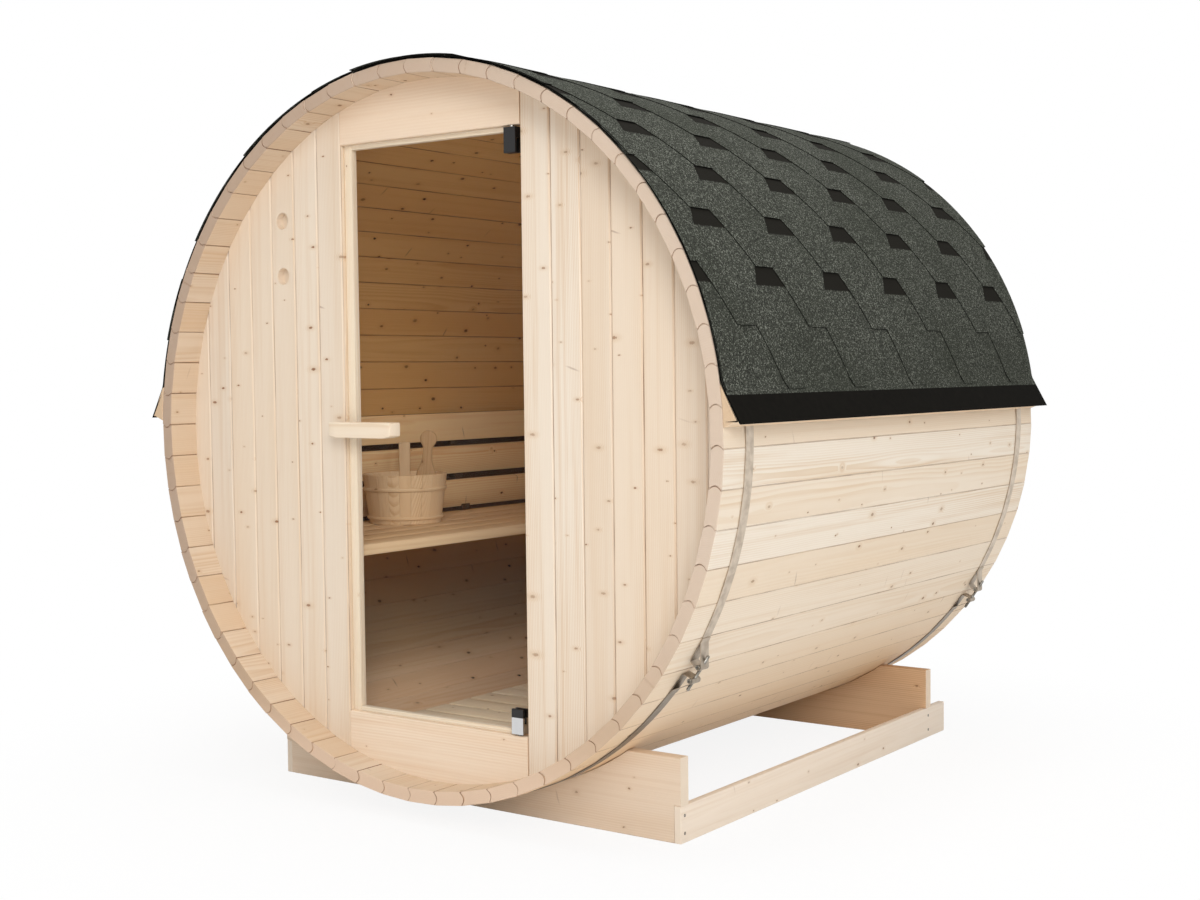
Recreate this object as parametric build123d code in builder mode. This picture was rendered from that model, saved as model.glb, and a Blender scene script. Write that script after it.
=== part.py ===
from build123d import *
import math
import os

os.makedirs("parts", exist_ok=True)

# Barrel of bead and cove staves, lying on its side with its axis along Y
barrel_length = 1800
barrel_radius = 935
stave_thickness = 35
stave_count = 64
stave_groups = 8
stave_turn = 1.1
joint_gap = 0.5
bead_depth = 8
bead_shoulder = 2
bead_steps = 4
seat_gap = 0.3

# End walls let into a croze groove in the staves
wall_recess = 92
wall_thickness = 36
croze_depth = 12
croze_gap = 0.3
vent_radius = 22.5
vent_depth = 22
vent_side_share = 0.5813
vent_height_shares = (0.6296, 0.4651)

# Doorway and glass door
doorway_width = 604
lintel_rise = 152
sill_rise = 162
door_clearance = 5
glass_setback = 3
glass_thickness = 8
stop_width = 18
stop_height = 13
stop_room = 30
pivot_inset = 28
pivot_width = 36
pivot_height = 63
pivot_depth = 22
pivot_neck = 26
pin_radius = 5
pin_play = 0.05
pin_reach = 18
pin_end_room = 2
handle_overhang = 20
handle_length = 222
handle_height = 41
handle_depth = 40
handle_lift = 3
handle_standoff = 6
handle_pad_width = 60
handle_pad_height = 30
handle_pad_share = 0.55
handle_bevel_run = 26
handle_bevel_rise = 5

# Roof covering and its eaves
cover_thickness = 7
eave_angle = 82.5
wedge_foot_angle = 88.2
wedge_tip = 2
wedge_thickness = 40
wedge_rise = 11

# Steel hoops and their tensioners
hoop_width = 30
hoop_thickness = 1.5
hoop_setback = 110
hoop_play = 1
tension_angle = 124.4
loop_nose = 19
loop_length = 70
nut_radius = 6
nut_length = 42
nut_spacing = 41
nut_height = 26
bolt_radius = 4
bolt_length = 104
bolt_play = 0.5

# Cradles and rails under the barrel
cradle_width_share = 0.7251
cradle_end_height = 211
cradle_web = 52
cradle_thickness = 34
cradle_front_setback = 210
cradle_rear_setback = 174
rail_thickness = 20
rail_height = 92
rail_rear_setback = 74

# Bench and backrest along the left wall
bench_drop_share = 0.341
bench_thickness = 30
bench_front_inset = 2
bench_back_room = 46
bench_slat_gap = 10
bench_slats = 5
bench_end_gap = 2
cleat_height = 45
cleat_thickness = 40
cleat_inset = 50
back_rise_share = 0.022
back_foot_gap = 12
back_slat_gap = 19
back_slats = 3
back_slat_thickness = 22
batten_thickness = 24
batten_width = 45
batten_share = 0.3

# Slatted floor
floor_drop_share = 0.8667
floor_width_share = 0.557
floor_slat_gap = 8.5
floor_slats = 16
floor_end_gap = 12
floor_slat_thickness = 22
bearer_width = 45
bearer_share = 0.76

# Bucket and ladle on the bench
bucket_set_in = 125
bucket_depth_share = 0.3847
bucket_foot_radius = 110
bucket_rim_radius = 131
bucket_height = 152
bucket_wall = 12
bucket_floor = 22
bucket_hoop_width = 10
bucket_hoop_thickness = 4
bucket_hoop_heights = (14, 102)
grip_width = 30
grip_height = 92
view_turn = 42.7
ladle_offset = 55
ladle_lean = 4.9
ladle_thickness = 12
ladle_rise = 130
ladle_end_radius = 26.5
ladle_neck_width = 31
ladle_neck_height = 172
ladle_foot_width = 62
ladle_shoulder = 118

# Sizes that follow
half_pitch = 180 / stave_count
pitch_angle = 360 / stave_count
half_tangent = math.tan(math.radians(half_pitch))
stave_inner = barrel_radius - stave_thickness
stave_corner = barrel_radius / math.cos(math.radians(half_pitch))
seat_radius = stave_corner + seat_gap
croze_radius = stave_inner + croze_depth
wall_radius = croze_radius - croze_gap
axis_height = seat_radius + cradle_web
rear_wall_depth = barrel_length - wall_recess - wall_thickness
inside_front = wall_recess + wall_thickness
inside_length = rear_wall_depth - inside_front
doorway_half = doorway_width / 2
doorway_top = wall_radius - lintel_rise
doorway_bottom = sill_rise - wall_radius
doorway_height = doorway_top - doorway_bottom
doorway_middle = (doorway_top + doorway_bottom) / 2
glass_front = wall_recess + glass_setback
glass_rear = glass_front + glass_thickness
glass_width = doorway_width - door_clearance * 2
glass_height = doorway_height - door_clearance * 2
glass_half_height = glass_height / 2
hoop_outer = seat_radius + hoop_thickness
hoop_room = hoop_outer + seat_gap
hoop_depths = (hoop_setback - hoop_width / 2, barrel_length - hoop_setback - hoop_width / 2)


def section(depth):
    """Upright plane across the barrel, a depth behind the staves' front edge, its origin on the axis."""
    return Plane(origin=(0, depth - barrel_length / 2, axis_height), x_dir=(1, 0, 0), z_dir=(0, -1, 0))


def level(height):
    """Level plane at a height from the barrel's axis, its origin under the middle of the front edge."""
    return Plane(origin=(0, -barrel_length / 2, axis_height + height))


def polar(radius, angle):
    """Point on a circle round the axis, the angle turned from the crown towards the right side."""
    turn = math.radians(angle)
    return (radius * math.sin(turn), radius * math.cos(turn))


def edge(radius):
    """Half width of a stave at a radius, less its half of the joint gap."""
    return radius * half_tangent - joint_gap / 2


# One stave's outline, lying along the sketch's X axis: a bead on one edge, a matching cove on the other
bead_middle = barrel_radius - stave_thickness / 2
bead_half = stave_thickness / 2 - bead_shoulder
bead_shares = [step * 2 / bead_steps - 1 for step in range(bead_steps + 1)]
bead_curve = [(bead_middle + bead_half * share, bead_depth * (1 - share**2)) for share in bead_shares]
with BuildSketch() as stave_outline:
    with BuildLine():
        Polyline(
            (stave_inner, -edge(stave_inner)),
            *[(radius, rise - edge(radius)) for radius, rise in bead_curve],
            (barrel_radius, -edge(barrel_radius)),
            (barrel_radius, edge(barrel_radius)),
            *[(radius, rise + edge(radius)) for radius, rise in reversed(bead_curve)],
            (stave_inner, edge(stave_inner)),
            close=True,
        )
    make_face()

# The staves in eight runs round the barrel, each stave grooved at both ends for the walls
stave_names = (
    "staves_right",
    "staves_upper_right",
    "staves_top",
    "staves_upper_left",
    "staves_left",
    "staves_lower_left",
    "staves_bottom",
    "staves_lower_right",
)
staves_each = stave_count // stave_groups
group_angle = 360 / stave_groups
first_angle = half_pitch - group_angle / 2 - stave_turn
for group, stave_name in enumerate(stave_names):
    with BuildPart() as staves:
        with BuildSketch(section(0)):
            with PolarLocations(0, staves_each, first_angle + group * group_angle, group_angle):
                add(stave_outline.sketch)
        extrude(amount=-barrel_length)
        with BuildSketch(section(wall_recess)):
            Circle(croze_radius)
        extrude(amount=-wall_thickness, mode=Mode.SUBTRACT)
        with BuildSketch(section(rear_wall_depth)):
            Circle(croze_radius)
        extrude(amount=-wall_thickness, mode=Mode.SUBTRACT)
    staves.part.label = stave_name
    export_step(staves.part, "parts/" + stave_name + ".step")

vent_x = -wall_radius * vent_side_share
vent_spots = [(vent_x, wall_radius * share) for share in vent_height_shares]

# Front wall: a panel on each side of the doorway, a board over it and one under it
with BuildPart() as front_wall_left:
    with BuildSketch(section(wall_recess)):
        Circle(wall_radius)
        with Locations((-doorway_half, 0)):
            Rectangle(wall_radius, wall_radius * 2, align=(Align.MAX, Align.CENTER), mode=Mode.INTERSECT)
    extrude(amount=-wall_thickness)
    with BuildSketch(section(wall_recess)):
        with Locations(*vent_spots):
            Circle(vent_radius)
    extrude(amount=-vent_depth, mode=Mode.SUBTRACT)
front_wall_left.part.label = "front_wall_left"
export_step(front_wall_left.part, "parts/front_wall_left.step")

with BuildPart() as front_wall_right:
    with BuildSketch(section(wall_recess)):
        Circle(wall_radius)
        with Locations((doorway_half, 0)):
            Rectangle(wall_radius, wall_radius * 2, align=(Align.MIN, Align.CENTER), mode=Mode.INTERSECT)
    extrude(amount=-wall_thickness)
front_wall_right.part.label = "front_wall_right"
export_step(front_wall_right.part, "parts/front_wall_right.step")

with BuildPart() as door_lintel:
    with BuildSketch(section(wall_recess)):
        Circle(wall_radius)
        with Locations((0, doorway_top)):
            Rectangle(doorway_width, wall_radius, align=(Align.CENTER, Align.MIN), mode=Mode.INTERSECT)
    extrude(amount=-wall_thickness)
door_lintel.part.label = "door_lintel"
export_step(door_lintel.part, "parts/door_lintel.step")

with BuildPart() as door_sill:
    with BuildSketch(section(wall_recess)):
        Circle(wall_radius)
        with Locations((0, doorway_bottom)):
            Rectangle(doorway_width, wall_radius, align=(Align.CENTER, Align.MAX), mode=Mode.INTERSECT)
    extrude(amount=-wall_thickness)
door_sill.part.label = "door_sill"
export_step(door_sill.part, "parts/door_sill.step")

with BuildPart() as back_wall:
    with BuildSketch(section(rear_wall_depth)):
        Circle(wall_radius)
    extrude(amount=-wall_thickness)
back_wall.part.label = "back_wall"
export_step(back_wall.part, "parts/back_wall.step")

# Strips behind the glass that the door closes towards
stop_front = glass_rear + door_clearance
stop_depth = inside_front - stop_front
stop_start = stop_width + joint_gap - doorway_half
pivot_x = doorway_half - pivot_inset
stop_end = pivot_x - stop_room
with BuildPart() as door_stops:
    with BuildSketch(section(stop_front)):
        with Locations((-doorway_half, doorway_middle)):
            Rectangle(stop_width, doorway_height, align=(Align.MIN, Align.CENTER))
        with Locations((stop_start, doorway_top)):
            Rectangle(stop_end - stop_start, stop_height, align=(Align.MIN, Align.MAX))
        with Locations((stop_start, doorway_bottom)):
            Rectangle(stop_end - stop_start, stop_height, align=(Align.MIN, Align.MIN))
    extrude(amount=-stop_depth)
door_stops.part.label = "door_stops"
export_step(door_stops.part, "parts/door_stops.step")

# Glass door with its two pivot fittings and the wooden handle
glass_middle = glass_front + glass_thickness / 2
glass_top = doorway_middle + glass_half_height
glass_bottom = doorway_middle - glass_half_height
pivot_front = glass_middle - pivot_depth / 2
with BuildPart() as door_glass:
    with BuildSketch(section(glass_front)):
        with Locations((0, doorway_middle)):
            Rectangle(glass_width, glass_height)
        with Locations((pivot_x - pivot_width / 2, glass_top)):
            Rectangle(pivot_width * 2, pivot_neck, align=(Align.MIN, Align.MAX), mode=Mode.SUBTRACT)
        with Locations((pivot_x - pivot_width / 2, glass_bottom)):
            Rectangle(pivot_width * 2, pivot_neck, align=(Align.MIN, Align.MIN), mode=Mode.SUBTRACT)
    extrude(amount=-glass_thickness)
door_glass.part.label = "door_glass"
export_step(door_glass.part, "parts/door_glass.step")

with BuildPart() as pivot_top:
    with BuildSketch(section(pivot_front)):
        with Locations((pivot_x, glass_top)):
            Rectangle(pivot_width, pivot_height, align=(Align.CENTER, Align.MAX))
    extrude(amount=-pivot_depth)
    with BuildSketch(section(glass_front)):
        with Locations((pivot_x, glass_top - pivot_neck)):
            Rectangle(pivot_width, pivot_height, align=(Align.CENTER, Align.MAX))
    extrude(amount=-glass_thickness, mode=Mode.SUBTRACT)
    with BuildSketch(level(glass_top)):
        with Locations((pivot_x, glass_middle)):
            Circle(pin_radius + pin_play)
    extrude(amount=-pin_reach - pin_end_room, mode=Mode.SUBTRACT)
pivot_top.part.label = "pivot_top"
export_step(pivot_top.part, "parts/pivot_top.step")

with BuildPart() as pivot_bottom:
    with BuildSketch(section(pivot_front)):
        with Locations((pivot_x, glass_bottom)):
            Rectangle(pivot_width, pivot_height, align=(Align.CENTER, Align.MIN))
    extrude(amount=-pivot_depth)
    with BuildSketch(section(glass_front)):
        with Locations((pivot_x, glass_bottom + pivot_neck)):
            Rectangle(pivot_width, pivot_height, align=(Align.CENTER, Align.MIN))
    extrude(amount=-glass_thickness, mode=Mode.SUBTRACT)
    with BuildSketch(level(glass_bottom)):
        with Locations((pivot_x, glass_middle)):
            Circle(pin_radius + pin_play)
    extrude(amount=pin_reach + pin_end_room, mode=Mode.SUBTRACT)
pivot_bottom.part.label = "pivot_bottom"
export_step(pivot_bottom.part, "parts/pivot_bottom.step")

# Pins in the lintel and the sill on which the fittings turn
with BuildPart() as pivot_pins:
    with BuildSketch(level(doorway_top)):
        with Locations((pivot_x, glass_middle)):
            Circle(pin_radius)
    extrude(amount=-door_clearance - pin_reach)
    with BuildSketch(level(doorway_bottom)):
        with Locations((pivot_x, glass_middle)):
            Circle(pin_radius)
    extrude(amount=door_clearance + pin_reach)
pivot_pins.part.label = "pivot_pins"
export_step(pivot_pins.part, "parts/pivot_pins.step")

handle_rear = wall_recess - handle_standoff
handle_left = -doorway_half - handle_overhang
handle_right = handle_left + handle_length
handle_middle = doorway_middle + handle_lift
handle_top = handle_middle + handle_height / 2
handle_foot = handle_middle - handle_height / 2
with BuildPart() as door_handle:
    with BuildSketch(section(handle_rear - handle_depth)):
        with BuildLine():
            Polyline(
                (handle_left, handle_top),
                (handle_right, handle_top),
                (handle_right, handle_foot + handle_bevel_rise),
                (handle_right - handle_bevel_run, handle_foot),
                (handle_left + handle_bevel_run, handle_foot),
                (handle_left, handle_foot + handle_bevel_rise),
                close=True,
            )
        make_face()
    extrude(amount=-handle_depth)
    with BuildSketch(section(handle_rear)):
        with Locations((handle_left + handle_length * handle_pad_share, handle_middle)):
            Rectangle(handle_pad_width, handle_pad_height)
    extrude(amount=handle_rear - glass_front)
door_handle.part.label = "door_handle"
export_step(door_handle.part, "parts/door_handle.step")

# Roof covering over the upper half, kicked out at each eave by a wedge batten
eave_inner = polar(seat_radius, eave_angle)
eave_tip = polar(seat_radius + wedge_tip, eave_angle)
eave_outer = polar(seat_radius + cover_thickness, eave_angle)
wedge_foot = polar(seat_radius, wedge_foot_angle)
wedge_corner = (wedge_foot[0] + wedge_thickness, wedge_foot[1] + wedge_rise)
slope_x = wedge_corner[0] - eave_tip[0]
slope_z = wedge_corner[1] - eave_tip[1]
slope_length = math.hypot(slope_x, slope_z)
drip_corner = (
    wedge_corner[0] - slope_z / slope_length * cover_thickness,
    wedge_corner[1] + slope_x / slope_length * cover_thickness,
)


def flip(point):
    """The same point on the left side."""
    return (-point[0], point[1])


eave_edge = (eave_outer, drip_corner, wedge_corner, eave_tip, eave_inner)
with BuildPart() as roof_cover:
    with BuildSketch(section(0)):
        with BuildLine():
            ThreePointArc(flip(eave_outer), (0, seat_radius + cover_thickness), eave_outer)
            Polyline(*eave_edge)
            ThreePointArc(eave_inner, (0, seat_radius), flip(eave_inner))
            Polyline(*[flip(point) for point in eave_edge])
        make_face()
    extrude(amount=-barrel_length)
    for hoop_depth in hoop_depths:
        with BuildSketch(section(hoop_depth - hoop_play)):
            Circle(hoop_room)
        extrude(amount=-hoop_width - hoop_play * 2, mode=Mode.SUBTRACT)
roof_cover.part.label = "roof_cover"
export_step(roof_cover.part, "parts/roof_cover.step")

wedge_belly = polar(seat_radius, (eave_angle + wedge_foot_angle) / 2)
with BuildPart() as eave_wedge_right:
    with BuildSketch(section(0)):
        with BuildLine():
            Polyline(eave_inner, eave_tip, wedge_corner, wedge_foot)
            ThreePointArc(wedge_foot, wedge_belly, eave_inner)
        make_face()
    extrude(amount=-barrel_length)
    for hoop_depth in hoop_depths:
        with BuildSketch(section(hoop_depth - hoop_play)):
            Circle(hoop_room)
        extrude(amount=-hoop_width - hoop_play * 2, mode=Mode.SUBTRACT)
eave_wedge_right.part.label = "eave_wedge_right"
export_step(eave_wedge_right.part, "parts/eave_wedge_right.step")

with BuildPart() as eave_wedge_left:
    add(eave_wedge_right.part.mirror(Plane.YZ))
eave_wedge_left.part.label = "eave_wedge_left"
export_step(eave_wedge_left.part, "parts/eave_wedge_left.step")

# Steel hoops, each open on the right flank where its tensioner sits
tension_turn = math.radians(tension_angle)


def flank(depth):
    """Plane across the barrel at the tensioner: X runs down round the barrel, Y points straight out of it."""
    spot = polar(seat_radius, tension_angle)
    origin = (spot[0], depth - barrel_length / 2, axis_height + spot[1])
    return Plane(origin=origin, x_dir=(math.cos(tension_turn), 0, -math.sin(tension_turn)), z_dir=(0, -1, 0))


loop_sag = seat_radius - math.sqrt(seat_radius**2 - loop_length**2)
loop_bend = nut_radius + seat_gap + hoop_thickness
nut_place = nut_spacing / 2


def bend_point(angle):
    """Point on the outside of the strap's bend round a cross nut."""
    return (nut_place + loop_bend * math.cos(angle), nut_height + loop_bend * math.sin(angle))


def touch_angle(point, side):
    """Angle round the nut at which a straight run of strap from a point meets the bend."""
    across = point[0] - nut_place
    down = point[1] - nut_height
    return math.atan2(down, across) + side * math.acos(loop_bend / math.hypot(across, down))


def bolt_plane(depth):
    """Plane across the bolt, half way between the cross nuts, facing down round the barrel."""
    spot = polar(seat_radius + nut_height, tension_angle)
    origin = (spot[0], depth - barrel_length / 2, axis_height + spot[1])
    return Plane(origin=origin, x_dir=(0, 1, 0), z_dir=(math.cos(tension_turn), 0, -math.sin(tension_turn)))


# Each strap end runs up from the barrel, bends round its cross nut and comes back down onto the strap
nose_foot = (loop_nose, seat_gap)
fold_low = (loop_length, seat_gap - loop_sag)
fold_high = (loop_length, seat_gap - loop_sag + hoop_thickness * 2)
nose_angle = touch_angle(nose_foot, -1) + math.pi * 2
fold_angle = touch_angle(fold_high, 1)
bend_angles = (nose_angle, (nose_angle + fold_angle) / 2, fold_angle)
for hoop_name, hoop_depth in zip(("hoop_front", "hoop_rear"), hoop_depths):
    with BuildPart() as hoop:
        with BuildSketch(section(hoop_depth)):
            Circle(hoop_outer)
            Circle(seat_radius, mode=Mode.SUBTRACT)
        extrude(amount=-hoop_width)
        with BuildSketch(flank(hoop_depth)):
            Rectangle(loop_length * 2, loop_length)
        extrude(amount=-hoop_width, mode=Mode.SUBTRACT)
        for side in (1, -1):
            bend = [(side * x, z) for x, z in map(bend_point, bend_angles)]
            foot, low, high = [(side * x, z) for x, z in (nose_foot, fold_low, fold_high)]
            with BuildSketch(flank(hoop_depth)):
                with BuildLine():
                    ThreePointArc(*bend)
                    Polyline(bend[2], high, low, foot, bend[0])
                make_face()
                offset(amount=-hoop_thickness, kind=Kind.INTERSECTION, mode=Mode.SUBTRACT)
            extrude(amount=-hoop_width)
        with BuildSketch(bolt_plane(hoop_depth + hoop_width / 2)):
            Circle(bolt_radius + bolt_play)
        extrude(amount=bolt_length / 2, both=True, mode=Mode.SUBTRACT)
    hoop.part.label = hoop_name
    export_step(hoop.part, "parts/" + hoop_name + ".step")

# Tensioners: a cross nut in each folded strap end, and one bolt through both that draws them together
for tension_name, hoop_depth in zip(("tensioner_front", "tensioner_rear"), hoop_depths):
    strap_middle = hoop_depth + hoop_width / 2
    with BuildPart() as tensioner:
        with BuildSketch(flank(strap_middle - nut_length / 2)):
            with GridLocations(nut_spacing, 0, 2, 1):
                with Locations((0, nut_height)):
                    Circle(nut_radius)
        extrude(amount=-nut_length)
        with BuildSketch(bolt_plane(strap_middle)):
            Circle(bolt_radius)
        extrude(amount=bolt_length / 2, both=True)
    tensioner.part.label = tension_name
    export_step(tensioner.part, "parts/" + tension_name + ".step")

# Cradles, hollowed to the barrel, with the rails let into their lower corners
cradle_width = barrel_radius * 2 * cradle_width_share
cradle_half = cradle_width / 2
cradle_rear_depth = barrel_length - cradle_rear_setback - cradle_thickness
rail_length = barrel_length - cradle_front_setback - rail_rear_setback
for cradle_name, cradle_depth in (("cradle_front", cradle_front_setback), ("cradle_rear", cradle_rear_depth)):
    with BuildPart() as cradle:
        with BuildSketch(section(cradle_depth)):
            with Locations((0, -axis_height)):
                Rectangle(cradle_width, cradle_end_height, align=(Align.CENTER, Align.MIN))
            Circle(seat_radius, mode=Mode.SUBTRACT)
            with Locations((cradle_half, -axis_height)):
                Rectangle(rail_thickness, rail_height, align=(Align.MAX, Align.MIN), mode=Mode.SUBTRACT)
            with Locations((-cradle_half, -axis_height)):
                Rectangle(rail_thickness, rail_height, align=(Align.MIN, Align.MIN), mode=Mode.SUBTRACT)
        extrude(amount=-cradle_thickness)
    cradle.part.label = cradle_name
    export_step(cradle.part, "parts/" + cradle_name + ".step")

with BuildPart() as rail_right:
    with BuildSketch(section(cradle_front_setback)):
        with Locations((cradle_half, -axis_height)):
            Rectangle(rail_thickness, rail_height, align=(Align.MAX, Align.MIN))
    extrude(amount=-rail_length)
rail_right.part.label = "rail_right"
export_step(rail_right.part, "parts/rail_right.step")

with BuildPart() as rail_left:
    with BuildSketch(section(cradle_front_setback)):
        with Locations((-cradle_half, -axis_height)):
            Rectangle(rail_thickness, rail_height, align=(Align.MIN, Align.MIN))
    extrude(amount=-rail_length)
rail_left.part.label = "rail_left"
export_step(rail_left.part, "parts/rail_left.step")

# Bench of long slats on a cleat at each end wall
bench_top = -stave_inner * bench_drop_share
bench_front = bench_front_inset - doorway_half
bench_back = bench_back_room - math.sqrt(stave_inner**2 - bench_top**2)
bench_middle = (bench_front + bench_back) / 2
bench_pitch = (bench_front - bench_back + bench_slat_gap) / bench_slats
bench_slat_width = bench_pitch - bench_slat_gap
with BuildPart() as bench_seat:
    with BuildSketch(section(inside_front + bench_end_gap)):
        with Locations((bench_middle, bench_top - bench_thickness / 2)):
            with GridLocations(bench_pitch, 0, bench_slats, 1):
                Rectangle(bench_slat_width, bench_thickness)
    extrude(amount=bench_end_gap * 2 - inside_length)
bench_seat.part.label = "bench_seat"
export_step(bench_seat.part, "parts/bench_seat.step")

with BuildPart() as bench_cleats:
    for cleat_depth in (inside_front, rear_wall_depth - cleat_thickness):
        with BuildSketch(section(cleat_depth)):
            Circle(stave_inner - seat_gap)
            with Locations((bench_front - cleat_inset, bench_top - bench_thickness)):
                Rectangle(stave_inner, cleat_height, align=(Align.MAX, Align.MAX), mode=Mode.INTERSECT)
        extrude(amount=-cleat_thickness)
bench_cleats.part.label = "bench_cleats"
export_step(bench_cleats.part, "parts/bench_cleats.step")

# Backrest: three slats on two curved battens that follow the wall
batten_face = stave_inner - seat_gap - batten_thickness
back_top = stave_inner * back_rise_share
back_pitch = (back_top - bench_top - back_foot_gap + back_slat_gap) / back_slats
back_slat_width = back_pitch - back_slat_gap
slat_rear_radius = math.sqrt((batten_face - seat_gap) ** 2 - (back_slat_width / 2) ** 2)
slat_middle_radius = slat_rear_radius - back_slat_thickness / 2
back_middles = [back_top - back_slat_width / 2 - back_pitch * slat for slat in range(back_slats)]
with BuildPart() as backrest:
    for middle in back_middles:
        lean = math.asin(middle / slat_middle_radius)
        slat_plane = Plane(
            origin=(
                -slat_middle_radius * math.cos(lean),
                inside_front + bench_end_gap - barrel_length / 2,
                axis_height + middle,
            ),
            x_dir=(math.cos(lean), 0, -math.sin(lean)),
            z_dir=(0, -1, 0),
        )
        with BuildSketch(slat_plane):
            Rectangle(back_slat_thickness, back_slat_width)
        extrude(amount=bench_end_gap * 2 - inside_length)
backrest.part.label = "backrest"
export_step(backrest.part, "parts/backrest.step")

batten_height = back_top - bench_top
with BuildPart() as backrest_battens:
    for batten_depth in (
        inside_front + inside_length * batten_share,
        rear_wall_depth - inside_length * batten_share - batten_width,
    ):
        with BuildSketch(section(batten_depth)):
            Circle(stave_inner - seat_gap)
            Circle(batten_face, mode=Mode.SUBTRACT)
            with Locations((0, bench_top)):
                Rectangle(stave_inner, batten_height, align=(Align.MAX, Align.MIN), mode=Mode.INTERSECT)
        extrude(amount=-batten_width)
backrest_battens.part.label = "backrest_battens"
export_step(backrest_battens.part, "parts/backrest_battens.step")

# Slatted floor on two bearers
floor_top = -stave_inner * floor_drop_share
floor_width = math.sqrt(stave_inner**2 - floor_top**2) * 2 * floor_width_share
floor_pitch = (inside_length - floor_end_gap * 2 + floor_slat_gap) / floor_slats
floor_slat_width = floor_pitch - floor_slat_gap
bearer_x = floor_width / 2 * bearer_share
bearer_top = floor_top - floor_slat_thickness
with BuildPart() as floor_slats_part:
    with BuildSketch(level(bearer_top)):
        with Locations((0, inside_front + inside_length / 2)):
            with GridLocations(0, floor_pitch, 1, floor_slats):
                Rectangle(floor_width, floor_slat_width)
    extrude(amount=floor_slat_thickness)
floor_slats_part.part.label = "floor_slats"
export_step(floor_slats_part.part, "parts/floor_slats.step")

with BuildPart() as floor_bearers:
    with BuildSketch(section(inside_front + bench_end_gap)):
        with Locations((bearer_x, bearer_top), (-bearer_x, bearer_top)):
            Rectangle(bearer_width, stave_inner, align=(Align.CENTER, Align.MAX))
        Circle(stave_inner - seat_gap, mode=Mode.INTERSECT)
    extrude(amount=bench_end_gap * 2 - inside_length)
floor_bearers.part.label = "floor_bearers"
export_step(floor_bearers.part, "parts/floor_bearers.step")

# Bucket with one tall stave as its grip, two hoops, and a ladle standing in it
bucket_x = bench_back + bucket_set_in
bucket_depth = inside_front + inside_length * bucket_depth_share
view_angle = math.radians(view_turn)
view_right = (math.cos(view_angle), math.sin(view_angle))
view_away = (-math.sin(view_angle), math.cos(view_angle))


def bucket_level(height):
    """Level plane at a height above the bench, its origin on the bucket's own axis."""
    return Plane(origin=(bucket_x, bucket_depth - barrel_length / 2, axis_height + bench_top + height))


bucket_flare = (bucket_rim_radius - bucket_foot_radius) / bucket_height
grip_plane = Plane(origin=bucket_level(bucket_height).origin, x_dir=(view_away[0], view_away[1], 0))
bucket_side = Plane(origin=bucket_level(0).origin, x_dir=(1, 0, 0), z_dir=(0, -1, 0))
with BuildPart() as bucket:
    with BuildSketch(bucket_side):
        with BuildLine():
            Polyline(
                (0, 0),
                (bucket_foot_radius, 0),
                (bucket_rim_radius, bucket_height),
                (bucket_rim_radius - bucket_wall, bucket_height),
                (bucket_foot_radius + bucket_flare * bucket_floor - bucket_wall, bucket_floor),
                (0, bucket_floor),
                close=True,
            )
        make_face()
    revolve(axis=Axis(bucket_side.origin, bucket_side.y_dir))
    with BuildSketch(grip_plane):
        Circle(bucket_rim_radius)
        Circle(bucket_rim_radius - bucket_wall, mode=Mode.SUBTRACT)
        Rectangle(bucket_rim_radius, grip_width, align=(Align.MIN, Align.CENTER), mode=Mode.INTERSECT)
    extrude(amount=grip_height)
bucket.part.label = "bucket"
export_step(bucket.part, "parts/bucket.step")

with BuildPart() as bucket_hoops:
    for hoop_height in bucket_hoop_heights:
        hoop_bore = bucket_foot_radius + bucket_flare * (hoop_height + bucket_hoop_width) + seat_gap
        with BuildSketch(bucket_level(hoop_height)):
            Circle(hoop_bore + bucket_hoop_thickness)
            Circle(hoop_bore, mode=Mode.SUBTRACT)
        extrude(amount=bucket_hoop_width)
bucket_hoops.part.label = "bucket_hoops"
export_step(bucket_hoops.part, "parts/bucket_hoops.step")

lean_angle = math.radians(ladle_lean)
ladle_lift = ladle_foot_width / 2 * math.sin(lean_angle) + seat_gap
ladle_plane = Plane(
    origin=(
        bucket_x + view_right[0] * ladle_offset,
        bucket_depth - barrel_length / 2 + view_right[1] * ladle_offset,
        axis_height + bench_top + bucket_floor + ladle_lift,
    ),
    x_dir=(
        view_right[0] * math.cos(lean_angle),
        view_right[1] * math.cos(lean_angle),
        -math.sin(lean_angle),
    ),
    z_dir=(-view_away[0], -view_away[1], 0),
)
ladle_end = bucket_height - bucket_floor + ladle_rise - ladle_end_radius
with BuildPart() as ladle:
    with BuildSketch(ladle_plane):
        with Locations((0, ladle_end)):
            Circle(ladle_end_radius)
        with BuildLine():
            Polyline(
                (-ladle_foot_width / 2, 0),
                (ladle_foot_width / 2, 0),
                (ladle_foot_width / 2, ladle_shoulder),
                (ladle_neck_width / 2, ladle_neck_height),
                (ladle_neck_width / 2, ladle_end),
                (-ladle_neck_width / 2, ladle_end),
                (-ladle_neck_width / 2, ladle_neck_height),
                (-ladle_foot_width / 2, ladle_shoulder),
                close=True,
            )
        make_face()
    extrude(amount=ladle_thickness / 2, both=True)
ladle.part.label = "ladle"
export_step(ladle.part, "parts/ladle.step")
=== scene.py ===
import math

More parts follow.
